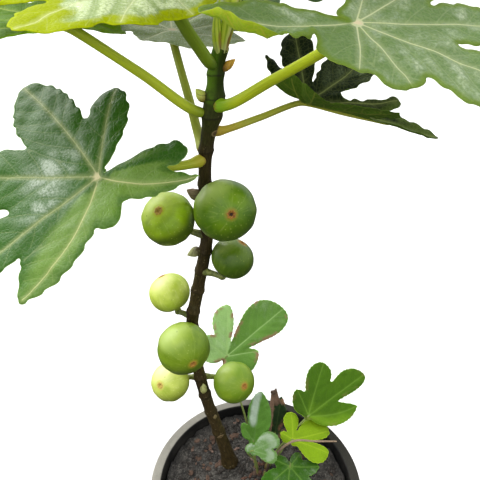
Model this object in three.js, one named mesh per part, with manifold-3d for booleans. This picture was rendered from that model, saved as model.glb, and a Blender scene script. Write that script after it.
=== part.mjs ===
// A young fig tree in a round nursery pot: one slender stem that carries seven green figs and a
// crown of large lobed leaves, with small shoots from the same root at its foot.
// Millimetres, +Z up. The origin is the centre of the pot's flat underside.

import * as THREE from 'three';
import { mergeVertices } from 'three/addons/utils/BufferGeometryUtils.js';
import Module from 'manifold-3d';

const wasm = await Module();
wasm.setup();

// ---------------------------------------------------------------- driving dimensions

const GAP = 0.3;            // clearance between neighbouring solids

const POT = {
  height: 200,
  rimRadius: 120,           // outside of the lip
  lipWidth: 12,             // flat top of the lip
  lipDepth: 16,             // the band that hangs outside the wall
  lipRound: 2.5,            // rounding of the lip's edges
  baseRadius: 86,
  wall: 3,
  floor: 3,
  segments: 36,
};
const SOIL = { depth: 25, bank: 7 };                  // below the rim, and its rise at the wall

// The stem's centre line from the soil to the last leaf node: it leans back and forth as it grew.
const STEM = {
  line: [
    [-29.9, 42.3], [-33, 41.5], [-43, 39], [-56, 36], [-65, 30.5], [-64.5, 27], [-54, 21],
    [-46.5, 16], [-46, 11], [-44, 9], [-37, 7], [-34, 5], [-30.5, 3],
  ],
  levels: [-8, 14, 61, 125, 200, 240, 300, 345, 400, 428, 466, 494, 506],  // above the soil
  footRadius: 7.2,
  tipRadius: 5.3,
  flare: 3.4,               // the swelling where the stem leaves the soil
  flareReach: 12,
  nodes: [62, 97, 128, 156, 178, 232, 254, 282, 306, 330, 372, 398, 428, 455, 471, 487],
  nodeSwell: 1.5,           // ring at each leaf scar
  nodeReach: 3.6,
  shoulder: 2.2,            // broader stem where the two largest stalks leave it
  shoulderLevel: 462,
  shoulderReach: 16,
  sides: 10,
  step: 7.5,
};

// The growing tip above the last node: a green pleated spindle of unfolding leaf and bud, which
// bears the stalks of the highest leaves.
const TIP = {
  line: [[-30, 3], [-27, 1], [-23.5, -1], [-19, -2.5], [-15, -4]],
  levels: [506, 522, 545, 570, 592],
  footRadius: 3.6,
  radius: 6.6,
  endRadius: 1.2,
  sides: 12,
};

const LEAF = {
  thickness: 2,
  stalk: [4.1, 2.7],        // radius of a leaf stalk at the stem, and where it enters the blade
  foldRound: 6,             // width of the keel along the middle vein
  rings: 3,
  lobeSteps: [0.8, 0.42],   // spokes between a sinus and a lobe's tip
};
const SHOOT_LEAF = { ...LEAF, thickness: 1.1, stalk: [1.5, 1.1], foldRound: 3, rings: 2 };
SHOOT_LEAF.lobeSteps = [0.62];

// Lobes of a blade, counter-clockwise round its stalk from the rear right:
// [angle, reach, bluntness, angle of the sinus after it, reach of that sinus].
// Angles are from the middle vein in degrees, reaches in leaf sizes.
const LOBES = {
  full: [
    [-132, 0.56, 1.6, -110, 0.40], [-87, 0.78, 1.7, -65, 0.48], [-43, 0.93, 1.7, -22, 0.50],
    [0, 1.00, 1.7, 22, 0.50], [43, 0.93, 1.7, 65, 0.48], [87, 0.78, 1.7, 110, 0.40],
    [132, 0.56, 1.6, 180, 0.09],
  ],
  // The open leaf on the left, with its rear lobes reaching back across the stem.
  broad: [
    [-168, 0.06, 2.0, -155, 0.06], [-128, 0.62, 1.6, -107, 0.43], [-84, 1.02, 1.3, -61, 0.58], [-42, 0.98, 1.6, -20, 0.58],
    [0, 0.98, 1.6, 13, 0.62], [27, 0.82, 1.0, 62, 0.32], [76, 0.35, 1.5, 97, 0.24],
    [139, 0.62, 0.8, 146, 0.40], [158, 0.53, 2.4, 175, 0.04],
  ],
  // The near leaf on the right, whose left lobe is long and passes in front of the tip.
  reaching: [
    [-143, 0.83, 1.65, -106, 0.32], [-66, 0.42, 2.2, -54, 0.43], [-34, 0.52, 2.4, -24, 0.50],
    [4, 1.00, 1.9, 20, 0.54], [38, 0.92, 1.7, 56, 0.50], [76, 0.80, 1.7, 94, 0.40],
    [106, 0.52, 1.3, 134, 0.17], [152, 0.13, 2.0, 200, 0.05],
  ],
  // The keeled leaf on the right: its far half stands up in four lobes.
  keeled: [
    [-116, 0.31, 1.6, -99, 0.28], [-82, 0.50, 1.7, -62, 0.38], [-40, 0.80, 1.7, -20, 0.50],
    [0, 1.00, 1.6, 9, 0.52], [18, 0.70, 0.9, 30, 0.25], [60, 0.70, 2.2, 91, 0.18],
    [115, 0.67, 1.9, 133, 0.34], [138, 0.58, 1.2, 160, 0.08],
  ],
  // The leaf behind on the left, whose rear lobes overlap in front of its stalk.
  lapped: [
    [-122, 0.67, 0.9, -100, 0.50], [-80, 0.78, 1.7, -62, 0.48], [-43, 0.93, 1.7, -22, 0.50],
    [0, 1.00, 1.7, 22, 0.50], [43, 0.93, 1.7, 65, 0.48], [84, 0.70, 1.7, 108, 0.34],
    [134, 0.36, 1.7, 182, 0.33],
  ],
  // The low leaf on the left, with one rear lobe that reaches back over its own stalk.
  spread: [
    [-138, 0.52, 1.6, -112, 0.38], [-87, 0.78, 1.7, -65, 0.48], [-43, 0.93, 1.7, -22, 0.50],
    [0, 1.00, 1.7, 22, 0.50], [43, 0.93, 1.7, 65, 0.48], [84, 0.72, 1.7, 106, 0.36],
    [176, 0.57, 0.8, 204, 0.34],
  ],
  // The high leaf on the left, whose near lobes are shorter.
  upper: [
    [-132, 0.56, 1.6, -110, 0.40], [-87, 0.78, 1.7, -65, 0.48], [-43, 0.93, 1.7, -22, 0.50],
    [0, 1.00, 1.7, 16, 0.60], [34, 0.92, 1.5, 57, 0.63], [62, 0.64, 1.3, 84, 0.44],
    [104, 0.42, 1.8, 180, 0.09],
  ],
  // On the shoots: the tall leaf's one large lobe, and five others.
  tall: [
    [-39, 0.46, 1.4, -27, 0.34], [-6, 1.13, 2.4, 26, 0.22], [41, 0.78, 1.6, 72, 0.36],
    [96, 0.42, 1.5, 180, 0.08],
  ],
  stepped: [
    [-25, 0.68, 1.0, -11, 0.46], [-2, 1.00, 2.2, 16, 0.57], [32, 0.77, 1.8, 56, 0.32],
    [73, 0.37, 1.2, 140, 0.08], [200, 0.06, 2.0, 265, 0.05],
  ],
  paired: [
    [-92, 0.14, 1.5, -63, 0.18], [-18, 0.97, 2.3, -2, 0.16], [15, 1.03, 2.1, 65, 0.28],
    [91, 0.73, 2.2, 121, 0.26], [150, 0.36, 1.5, 215, 0.10],
  ],
  mitten: [
    [-60, 0.20, 1.4, -50, 0.22], [0, 0.96, 1.3, 24, 0.30], [52, 0.36, 1.3, 100, 0.10],
  ],
  narrow: [
    [-50, 0.14, 1.4, -34, 0.16], [4, 0.74, 1.1, 40, 0.20], [80, 0.16, 1.4, 190, 0.08],
  ],
  cleft: [
    [-96, 0.15, 1.5, -58, 0.20], [-24, 0.84, 2.2, -6, 0.70], [13, 1.00, 2.0, 60, 0.20],
    [150, 0.26, 1.5, 215, 0.10],
  ],
  small: [
    [-108, 0.36, 1.4, -80, 0.28], [-44, 0.80, 1.5, -23, 0.46], [0, 1.00, 1.5, 23, 0.46],
    [44, 0.80, 1.5, 66, 0.44], [92, 0.62, 1.4, 122, 0.30], [146, 0.36, 1.4, 190, 0.08],
  ],
};

// Each leaf: the stem level of its node above the soil, the point where stalk and blade meet,
// the middle vein's heading (degrees from +X), pitch and the blade's roll about it, its size from
// that point to the tip, how its blade is folded, hangs, curls up at one side and waves, and its
// stalk's radii where they differ from the usual ones.
const LEAVES = [
  { name: 'leaf_left_open', node: 421, joint: [-112, -53, 611], heading: -157, pitch: -29, roll: 24,
    size: 118, lobes: 'broad', fold: 0.0, droop: 0.04, wave: 0.6, phase: 0.4 },
  { name: 'leaf_right_near', node: 464, joint: [42, -83, 714], heading: -25, pitch: -18, roll: -17,
    size: 100, lobes: 'reaching', fold: 0.04, droop: 0, wave: 1, phase: 2.0,
    curl: 6, curlAngle: -130, under: 0.14, stalk: [4.1, 3.1] },
  { name: 'leaf_right_folded', node: 443, joint: [34, 37, 633], heading: -14, pitch: -11, roll: -2,
    size: 104, lobes: 'keeled', fold: 0.46, droop: -0.03, wave: 4, phase: 5.0,
    curl: 12, curlAngle: -122, stalk: [2.9, 2.1] },
  { name: 'leaf_back_left', node: 424, joint: [-71, 67, 679], heading: 100, pitch: 9, roll: -3,
    size: 92, lobes: 'lapped', fold: 0.06, droop: -0.03, wave: 1.5, phase: 0.2, stalk: [4, 3.3] },
  { name: 'leaf_left_low', node: 456, joint: [-129, -20, 704], heading: 150, pitch: 0, roll: 0,
    size: 98, lobes: 'spread', fold: 0.06, droop: 0.0, wave: 2, phase: 1.7, under: 0.05, sag: 0.012,
    stalk: [4.1, 3.3] },
  { name: 'leaf_left_high', node: 492, joint: [-66, -44, 728], heading: -160, pitch: -1, roll: 10,
    size: 104, lobes: 'upper', fold: 0.04, droop: 0.0, wave: 1.5, phase: 3.0,
    under: 0.1, stalk: [4.6, 4.1] },
  { name: 'leaf_back_right', node: 540, joint: [-14, 62, 716], heading: 58, pitch: 20, roll: 0,
    size: 98, lobes: 'full', fold: 0.15, droop: 0.22, wave: 4, phase: 0.9 },
  { name: 'leaf_back', node: 552, joint: [-26, 78, 778], heading: 88, pitch: 12, roll: 0,
    size: 92, lobes: 'full', fold: 0.15, droop: 0.2, wave: 4, phase: 2.5 },
  { name: 'leaf_far_left', node: 546, joint: [-104, 54, 757], heading: 158, pitch: 6, roll: 0,
    size: 96, lobes: 'full', fold: 0.12, droop: 0.2, wave: 4, phase: 0.1 },
  { name: 'leaf_right_high', node: 560, joint: [38, -10, 772], heading: -8, pitch: 12, roll: 0,
    size: 84, lobes: 'full', fold: 0.2, droop: 0.12, wave: 3, phase: 1.4 },
  { name: 'leaf_front_high', node: 566, joint: [-36, -50, 778], heading: -104, pitch: 16, roll: 0,
    size: 74, lobes: 'full', fold: 0.2, droop: 0.1, wave: 3, phase: 2.2 },
];

// Each fig: the stem level of its stalk, the middle and half width of its body, and the heading
// and pitch of its eye.
const FIGS = [
  { name: 'fig_front_upper', node: 384, middle: [-29, -17, 565], radius: 24, heading: -76, pitch: 20 },
  { name: 'fig_left_upper', node: 346, middle: [-76, 2, 546], radius: 22, heading: -116, pitch: 48 },
  { name: 'fig_right_upper', node: 306, middle: [-24, 9, 503], radius: 18.5, heading: 20, pitch: 58 },
  { name: 'fig_left_back', node: 246, middle: [-87, 42, 440], radius: 20, heading: 140, pitch: 58 },
  { name: 'fig_front_lower', node: 232, middle: [-71, -3, 408], radius: 25, heading: -62, pitch: -2 },
  { name: 'fig_left_lower', node: 156, middle: [-92, 27, 332], radius: 20.5, heading: -122, pitch: 28 },
  { name: 'fig_right_lower', node: 158, middle: [-24, 29, 329], radius: 22, heading: -52, pitch: 26 },
];
const FIG = { stalkRadius: 2.6, sides: 14 };

// Shoots from the root: one bare woody stem, small leaves on long stalks round it, and a dry stalk
// that has lost its leaf and lies out across the rim.
const SHOOT = { foot: [13, 39], top: [20, 48], height: 119, footRadius: 3.4, topRadius: 2.3, sides: 8 };
const DRY_STALK = {
  line: [[12, 18, -4], [18, 20, 33], [42.5, 20, 68], [68, 23, 64], [94, 29, 56]],     // above the soil
  footRadius: 1.5,
  endRadius: 0.9,
};
const SHOOT_LEAVES = [
  { name: 'shoot_leaf_tall', foot: [0, 42], joint: [-34, 87, 308], heading: 44, pitch: 22, roll: -22,
    size: 84, lobes: 'tall', fold: 0.1, droop: 0.1 },
  { name: 'shoot_leaf_right', foot: [14, 33], joint: [64, 58, 240], heading: 38, pitch: 8, roll: -20,
    size: 94, lobes: 'stepped', fold: 0.06, droop: 0.0 },
  { name: 'shoot_leaf_young', foot: [15, 28], joint: [44, 34, 227], heading: 2, pitch: -5, roll: -18,
    size: 45, lobes: 'paired', fold: 0.05, droop: 0.05 },
  { name: 'shoot_leaf_upright', foot: [1, 33], joint: [-2, 38, 219], heading: 70, pitch: 74, roll: 20,
    size: 70, lobes: 'mitten', fold: 0.3, droop: 0.05 },
  { name: 'shoot_leaf_shaded', foot: [10, 45], joint: [25, 58, 208], heading: 60, pitch: 66, roll: -10,
    size: 66, lobes: 'narrow', fold: 0.3, droop: 0.05 },
  { name: 'shoot_leaf_pale', foot: [3, 25], joint: [-4, 9, 241], heading: 12, pitch: 0, roll: -24,
    size: 34, lobes: 'cleft', fold: 0.1, droop: 0.1 },
  { name: 'shoot_leaf_front', foot: [12, 23], joint: [40, 14, 206], heading: -98, pitch: -14, roll: -5,
    size: 54, lobes: 'small', fold: 0.15, droop: 0.15 },
];

const COLOURS = {
  pot: [0x6f6e66, 0.62],
  soil: [0x2f2a27, 0.95],
  bark: [0x3c3420, 0.75],
  leaf: [0x4f7a35, 0.45],
  youngLeaf: [0xa9bf3c, 0.45],
  fig: [0x78a02c, 0.38],
  shoot: [0x6b4a35, 0.8],
};

// ---------------------------------------------------------------- solids

const radians = THREE.MathUtils.degToRad;
const soilLevel = POT.height - SOIL.depth;

function toSolid(geometry) {
  const bare = geometry.clone();
  bare.deleteAttribute('normal');
  bare.deleteAttribute('uv');
  const merged = mergeVertices(bare, 1e-4);
  return new wasm.Manifold(new wasm.Mesh({
    numProp: 3,
    vertProperties: new Float32Array(merged.attributes.position.array),
    triVerts: new Uint32Array(merged.index.array),
  }));
}

function toGeometry(solid) {
  const { numProp, vertProperties, triVerts } = solid.getMesh();
  const places = new Float32Array(vertProperties.length / numProp * 3);
  for (let i = 0; i < places.length / 3; i += 1) {
    for (let axis = 0; axis < 3; axis += 1) places[3 * i + axis] = vertProperties[numProp * i + axis];
  }
  const geometry = new THREE.BufferGeometry();
  geometry.setAttribute('position', new THREE.BufferAttribute(places, 3));
  geometry.setIndex(new THREE.BufferAttribute(new Uint32Array(triVerts), 1));
  return geometry;
}

// A tapering limb: a cylinder bent along a smooth curve, with its radius given along the length.
function limb(points, radiusAt, sides, steps) {
  const curve = new THREE.CatmullRomCurve3(points, false, 'centripetal');
  curve.arcLengthDivisions = 400;
  const frames = curve.computeFrenetFrames(steps);
  const geometry = new THREE.CylinderGeometry(1, 1, 1, sides, steps);
  const place = geometry.attributes.position;
  for (let i = 0; i < place.count; i += 1) {
    const step = Math.round((place.getY(i) + 0.5) * steps);
    const radius = radiusAt(step / steps);
    const across = frames.binormals[step].clone().negate();
    const point = curve.getPointAt(step / steps)
      .addScaledVector(frames.normals[step], place.getX(i) * radius)
      .addScaledVector(across, place.getZ(i) * radius);
    place.setXYZ(i, point.x, point.y, point.z);
  }
  return toSolid(geometry);
}

// Everything below the clearance over the soil: it cuts each stem flat at the soil.
const underSoil = toSolid(new THREE.BoxGeometry(3 * POT.rimRadius, 3 * POT.rimRadius, POT.height)
  .translate(0, 0, soilLevel + GAP - POT.height / 2));

function lathe(profile, segments) {
  const turned = new THREE.LatheGeometry(profile.map(([r, z]) => new THREE.Vector2(r, z)), segments);
  turned.rotateX(Math.PI / 2);
  return turned;
}

// ---------------------------------------------------------------- pot and soil

function wallRadius(z) {
  const top = POT.rimRadius - POT.lipWidth + POT.wall;
  return THREE.MathUtils.lerp(POT.baseRadius, top, z / POT.height);
}

function pot() {
  const { height, rimRadius, lipWidth, lipDepth, lipRound, wall, floor } = POT;
  const inner = rimRadius - lipWidth;
  return lathe([
    [0, 0], [POT.baseRadius - 2, 0], [POT.baseRadius, 2],
    [wallRadius(height - lipDepth), height - lipDepth],
    [rimRadius - 1, height - lipDepth], [rimRadius, height - lipDepth + 1],
    [rimRadius, height - lipRound], [rimRadius - lipRound, height],
    [inner + lipRound, height], [inner, height - lipRound],
    [wallRadius(floor) - wall, floor], [0, floor],
  ], POT.segments);
}

function soil() {
  const foot = POT.floor + GAP;
  const inside = (z) => THREE.MathUtils.lerp(
    wallRadius(POT.floor) - POT.wall, POT.rimRadius - POT.lipWidth,
    (z - POT.floor) / (POT.height - POT.lipRound - POT.floor),
  ) - 2 * GAP;
  const edge = soilLevel + SOIL.bank;
  return lathe([
    [0, foot], [inside(foot), foot], [inside(edge), edge],
    [inside(edge) * 0.86, soilLevel + 0.45 * SOIL.bank], [inside(edge) * 0.65, soilLevel], [0, soilLevel],
  ], POT.segments);
}

// ---------------------------------------------------------------- stem

// A smooth centre line through places given at levels above the soil.
function centreLine(line, levels) {
  const points = line.map(([x, y], i) => new THREE.Vector3(x, y, soilLevel + GAP + levels[i]));
  const curve = new THREE.CatmullRomCurve3(points, false, 'centripetal');
  curve.arcLengthDivisions = 400;
  return curve;
}

const stemCurve = centreLine(STEM.line, STEM.levels);
const tipCurve = centreLine(TIP.line, TIP.levels);
const levelOf = (point) => point.z - soilLevel - GAP;

// The point of a centre line at a level above the soil.
function pointAt(curve, level) {
  let low = 0;
  let high = 1;
  for (let i = 0; i < 40; i += 1) {
    const middle = (low + high) / 2;
    if (levelOf(curve.getPointAt(middle)) < level) low = middle;
    else high = middle;
  }
  return curve.getPointAt(low);
}

const bell = (x) => Math.exp(-x * x);

function stemRadius(t) {
  const level = levelOf(stemCurve.getPointAt(t));
  const taper = THREE.MathUtils.lerp(STEM.footRadius, STEM.tipRadius, Math.min(1, t * 1.6));
  const flare = STEM.flare * Math.exp(-Math.max(0, level) / STEM.flareReach);
  const swell = Math.max(...STEM.nodes.map((node) => bell((level - node) / STEM.nodeReach)));
  const shoulder = STEM.shoulder * bell((level - STEM.shoulderLevel) / STEM.shoulderReach);
  const end = 1 - 0.3 * THREE.MathUtils.smoothstep(t, 0.985, 1);
  return (taper + flare + STEM.nodeSwell * swell + shoulder) * end;
}

function tipRadius(t) {
  const swell = Math.sin(Math.PI * Math.min(1, 0.12 + t)) ** 0.7;
  const foot = THREE.MathUtils.lerp(TIP.footRadius, TIP.endRadius, t);
  return foot + (TIP.radius - TIP.footRadius) * swell;
}

// A limb along a centre line, and the same grown by the clearance and run past its ends, which
// cuts its neighbours.
function carrier(curve, radiusAt, sides, step) {
  const length = curve.getLength();
  const steps = Math.round(length / step);
  const before = curve.getPointAt(0).addScaledVector(curve.getTangentAt(0), -step);
  const after = curve.getPointAt(1).addScaledVector(curve.getTangentAt(1), GAP);
  const run = (t) => THREE.MathUtils.clamp((t * (length + step + GAP) - step) / length, 0, 1);
  return {
    curve,
    solid: limb(curve.points, radiusAt, sides, steps).subtract(underSoil),
    cutter: limb([before, ...curve.points, after], (t) => radiusAt(run(t)) + GAP, sides, steps + 1),
  };
}

const stem = carrier(stemCurve, stemRadius, STEM.sides, STEM.step);
const tip = carrier(tipCurve, tipRadius, TIP.sides, STEM.step);
const carrierAt = (level) => (level > TIP.levels[0] ? tip : stem);
const cutClear = (solid) => solid.subtract(stem.cutter).subtract(tip.cutter);

// ---------------------------------------------------------------- leaves

// Reach of a blade's margin at a spoke, between two sinuses and the lobe that they hold.
function superEllipse(x, bluntness) {
  return (1 - x ** bluntness) ** (1 / bluntness);
}

// The margin as a list of { angle, reach }, in degrees and leaf sizes.
function margin(rows, steps) {
  const spokes = [];
  rows.forEach(([angle, reach, bluntness, nextAngle, nextReach], i) => {
    const before = rows[(i + rows.length - 1) % rows.length];
    const lastAngle = i === 0 ? before[3] - 360 : before[3];
    spokes.push({ angle: lastAngle, reach: before[4] });
    for (const x of steps) {
      const grown = THREE.MathUtils.lerp(before[4], reach, superEllipse(x, bluntness));
      spokes.push({ angle: THREE.MathUtils.lerp(angle, lastAngle, x), reach: grown });
    }
    spokes.push({ angle, reach });
    for (const x of [...steps].reverse()) {
      const grown = THREE.MathUtils.lerp(nextReach, reach, superEllipse(x, bluntness));
      spokes.push({ angle: THREE.MathUtils.lerp(angle, nextAngle, x), reach: grown });
    }
  });
  return spokes;
}

// Height of the blade over its plane, at a share q of the way from the stalk to the margin.
function bladeHeight(leaf, shape, angle, radius, q) {
  const v = radius * Math.sin(angle);
  const keel = leaf.fold * (Math.hypot(v, shape.foldRound) - shape.foldRound);
  const hang = leaf.droop * radius * radius / leaf.size;
  const wave = (leaf.wave ?? 1.5) * q * q * Math.sin(5 * angle + (leaf.phase ?? 0));
  const facing = Math.max(0, Math.cos(angle - radians(leaf.curlAngle ?? 0)));
  const curl = (leaf.curl ?? 0) * q ** 3 * facing ** 2;
  return keel - hang + wave + curl;
}

function leafFrame(leaf) {
  const heading = radians(leaf.heading);
  const pitch = radians(leaf.pitch);
  const roll = radians(leaf.roll);
  const along = new THREE.Vector3(
    Math.cos(pitch) * Math.cos(heading), Math.cos(pitch) * Math.sin(heading), Math.sin(pitch),
  );
  const level = new THREE.Vector3(-Math.sin(heading), Math.cos(heading), 0);
  const over = along.clone().cross(level);
  const normal = over.clone().multiplyScalar(Math.cos(roll)).addScaledVector(level, Math.sin(roll));
  return { along, normal, left: normal.clone().cross(along) };
}

function blade(leaf, shape, rows) {
  const frame = leafFrame(leaf);
  const spokes = margin(rows, shape.lobeSteps);
  const count = spokes.length;
  const corners = [];
  const faces = [];
  const point = (angle, radius, height) => new THREE.Vector3(...leaf.joint)
    .addScaledVector(frame.along, radius * Math.cos(angle))
    .addScaledVector(frame.left, radius * Math.sin(angle))
    .addScaledVector(frame.normal, height);
  for (const side of [1, -1]) {
    const offset = side * shape.thickness / 2;
    corners.push(point(0, 0, offset));
    for (let ring = 1; ring <= shape.rings; ring += 1) {
      const q = ring / shape.rings;
      for (const spoke of spokes) {
        const angle = radians(spoke.angle);
        const radius = q * spoke.reach * leaf.size;
        corners.push(point(angle, radius, bladeHeight(leaf, shape, angle, radius, q) + offset));
      }
    }
  }
  const perSide = 1 + shape.rings * count;
  const at = (side, ring, spoke) => side * perSide + 1 + (ring - 1) * count + (spoke % count);
  for (let k = 0; k < count; k += 1) {
    faces.push([0, at(0, 1, k), at(0, 1, k + 1)]);
    faces.push([perSide, at(1, 1, k + 1), at(1, 1, k)]);
    for (let ring = 1; ring < shape.rings; ring += 1) {
      faces.push([at(0, ring, k), at(0, ring + 1, k), at(0, ring + 1, k + 1)]);
      faces.push([at(0, ring, k), at(0, ring + 1, k + 1), at(0, ring, k + 1)]);
      faces.push([at(1, ring, k), at(1, ring + 1, k + 1), at(1, ring + 1, k)]);
      faces.push([at(1, ring, k), at(1, ring, k + 1), at(1, ring + 1, k + 1)]);
    }
    const edge = shape.rings;
    faces.push([at(0, edge, k), at(1, edge, k), at(1, edge, k + 1)]);
    faces.push([at(0, edge, k), at(1, edge, k + 1), at(0, edge, k + 1)]);
  }
  const geometry = new THREE.BufferGeometry();
  geometry.setAttribute('position', new THREE.Float32BufferAttribute(corners.flatMap((c) => c.toArray()), 3));
  geometry.setIndex(faces.flat());
  return toSolid(geometry);
}

// The stalk leaves its carrier level, bends up and enters the blade along the middle vein.
function stalk(leaf, shape, foot) {
  const { along, normal } = leafFrame(leaf);
  const joint = new THREE.Vector3(...leaf.joint);
  const reach = joint.clone().sub(foot);
  const out = new THREE.Vector3(reach.x, reach.y, 0).normalize();
  const length = reach.length();
  const enter = joint.clone().addScaledVector(along, -0.06 * length);
  enter.addScaledVector(normal, -(leaf.under ?? 0.05) * length);
  const leave = foot.clone().lerp(enter, 0.14).addScaledVector(out, 0.02 * length);
  leave.z -= 0.025 * length;
  const middle = foot.clone().lerp(enter, 0.55);
  middle.z -= (leaf.sag ?? 0.02) * length;
  const end = joint.clone().addScaledVector(along, 2).addScaledVector(normal, -0.2);
  const radiusAt = (t) => THREE.MathUtils.lerp(...(leaf.stalk ?? shape.stalk), Math.min(1, 1.5 * t));
  return limb([foot, leave, middle, enter, end], radiusAt, 6, 7);
}

function crownLeaf(leaf) {
  const foot = pointAt(carrierAt(leaf.node).curve, leaf.node);
  return cutClear(blade(leaf, LEAF, LOBES[leaf.lobes]).add(stalk(leaf, LEAF, foot)));
}

function shootLeaf(leaf) {
  const foot = new THREE.Vector3(leaf.foot[0], leaf.foot[1], soilLevel - 4);
  const { along, normal } = leafFrame(leaf);
  const joint = new THREE.Vector3(...leaf.joint);
  const rise = foot.clone().lerp(joint, 0.45);
  rise.z += 0.12 * foot.distanceTo(joint);
  const start = foot.clone();
  start.z += 10;
  const enter = joint.clone().addScaledVector(along, -5).addScaledVector(normal, -2);
  const end = joint.clone().addScaledVector(along, 1.5);
  const radiusAt = (t) => THREE.MathUtils.lerp(...SHOOT_LEAF.stalk, t);
  const stalkSolid = limb([foot, start, rise, enter, end], radiusAt, 5, 6).subtract(underSoil);
  return blade(leaf, SHOOT_LEAF, LOBES[leaf.lobes]).add(stalkSolid);
}

// ---------------------------------------------------------------- figs

// A fig's outline from its neck to the rim of its eye, in half widths.
function figProfile(radius) {
  const outline = [[0, -1.02], [0.13, -1.02], [0.2, -0.92]];
  const turns = 6;
  for (let i = 0; i <= turns; i += 1) {
    const turn = THREE.MathUtils.lerp(radians(-62), radians(76), i / turns);
    outline.push([Math.cos(turn) ** 0.9, Math.sin(turn) * (turn < 0 ? 0.95 : 0.88)]);
  }
  outline.push([0.1, 0.84], [0, 0.82]);
  return outline.map(([r, z]) => [r * radius, z * radius]);
}

function fig(spec) {
  const axis = new THREE.Vector3(
    Math.cos(radians(spec.pitch)) * Math.cos(radians(spec.heading)),
    Math.cos(radians(spec.pitch)) * Math.sin(radians(spec.heading)),
    Math.sin(radians(spec.pitch)),
  );
  const middle = new THREE.Vector3(...spec.middle);
  const body = lathe(figProfile(spec.radius), FIG.sides);
  body.applyQuaternion(new THREE.Quaternion().setFromUnitVectors(new THREE.Vector3(0, 0, 1), axis));
  body.translate(...spec.middle);
  const foot = pointAt(stem.curve, spec.node);
  const neck = middle.clone().addScaledVector(axis, -1.06 * spec.radius);
  const inside = middle.clone().addScaledVector(axis, -0.8 * spec.radius);
  const stalkLine = [foot, foot.clone().lerp(neck, 0.6), neck, inside];
  return cutClear(toSolid(body).add(limb(stalkLine, () => FIG.stalkRadius, 6, 4)));
}

// ---------------------------------------------------------------- assembly

const tree = new THREE.Group();

function add(name, geometry, [colour, roughness]) {
  const material = new THREE.MeshStandardMaterial({ color: colour, roughness, metalness: 0 });
  const mesh = new THREE.Mesh(geometry, material);
  mesh.name = name;
  tree.add(mesh);
}

add('pot', pot(), COLOURS.pot);
add('soil', soil(), COLOURS.soil);
add('stem', toGeometry(stem.solid), COLOURS.bark);
add('stem_tip', toGeometry(tip.solid.subtract(stem.cutter)), COLOURS.youngLeaf);
for (const leaf of LEAVES) add(leaf.name, toGeometry(crownLeaf(leaf)), COLOURS.leaf);
for (const spec of FIGS) add(spec.name, toGeometry(fig(spec)), COLOURS.fig);

const shootFoot = new THREE.Vector3(...SHOOT.foot, soilLevel - 4);
const shootTop = new THREE.Vector3(...SHOOT.top, soilLevel + SHOOT.height);
const shootKnee = new THREE.Vector3(SHOOT.foot[0] + 2, SHOOT.foot[1] + 1, soilLevel + 40);
const shootStem = limb(
  [shootFoot, shootKnee, shootTop],
  (t) => THREE.MathUtils.lerp(SHOOT.footRadius, SHOOT.topRadius, t), SHOOT.sides, 12,
).subtract(underSoil);
add('shoot_stem', toGeometry(shootStem), COLOURS.shoot);
add('dry_stalk', toGeometry(limb(
  DRY_STALK.line.map(([x, y, level]) => new THREE.Vector3(x, y, soilLevel + level)),
  (t) => THREE.MathUtils.lerp(DRY_STALK.footRadius, DRY_STALK.endRadius, t), 6, 9,
).subtract(underSoil)), COLOURS.shoot);
for (const leaf of SHOOT_LEAVES) add(leaf.name, toGeometry(shootLeaf(leaf)), COLOURS.leaf);

export default tree;
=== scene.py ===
"""A young fig tree in a nursery pot: leaves, figs, stem, shoots, soil and pot, dressed for rendering.

All plant sizes are millimetres in the CAD frame (+Z up, origin under the pot) and are turned into
metres when a mesh is made.
"""
import math
import random

import bpy
import numpy as np
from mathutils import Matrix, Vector, noise
from mathutils.geometry import delaunay_2d_cdt


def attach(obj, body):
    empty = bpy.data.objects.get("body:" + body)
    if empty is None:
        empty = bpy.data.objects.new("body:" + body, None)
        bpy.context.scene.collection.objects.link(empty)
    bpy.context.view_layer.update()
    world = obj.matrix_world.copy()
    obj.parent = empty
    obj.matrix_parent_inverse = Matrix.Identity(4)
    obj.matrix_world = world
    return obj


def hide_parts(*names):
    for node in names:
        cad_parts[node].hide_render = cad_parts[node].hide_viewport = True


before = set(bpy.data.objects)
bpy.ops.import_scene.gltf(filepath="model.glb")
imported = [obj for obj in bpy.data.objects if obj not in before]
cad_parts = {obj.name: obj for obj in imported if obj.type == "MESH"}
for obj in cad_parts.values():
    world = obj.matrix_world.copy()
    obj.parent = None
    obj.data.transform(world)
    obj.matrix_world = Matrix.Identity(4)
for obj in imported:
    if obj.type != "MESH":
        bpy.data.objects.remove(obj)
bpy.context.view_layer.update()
MM = 0.001
GAP = 0.3  # mm of clearance between neighbours in the solids

# ------------------------------------------------------------------ sizes, as in the solids
POT = dict(height=200, rim=120, lip=12, lip_depth=16, base=86, wall=3, floor=3)
SOIL_LEVEL = 175.0
SOIL_BANK = 15.0  # how far the soil climbs the pot's wall
STEM_LINE = [(-29.9, 42.3), (-33, 41.5), (-43, 39), (-56, 36), (-65, 30.5), (-64.5, 27), (-54, 21),
             (-46.5, 16), (-46, 11), (-44, 9), (-37, 7), (-34, 5), (-30.5, 3)]
STEM_LEVELS = [-8, 14, 61, 125, 200, 240, 300, 345, 400, 428, 466, 494, 506]
STEM_NODES = [62, 97, 128, 156, 178, 232, 254, 282, 306, 330, 372, 398, 428, 455, 471, 487]
TIP_LINE = [(-30, 3), (-27, 1), (-23.5, -1), (-19, -2.5), (-15, -4)]
TIP_LEVELS = [506, 522, 545, 570, 592]

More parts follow.
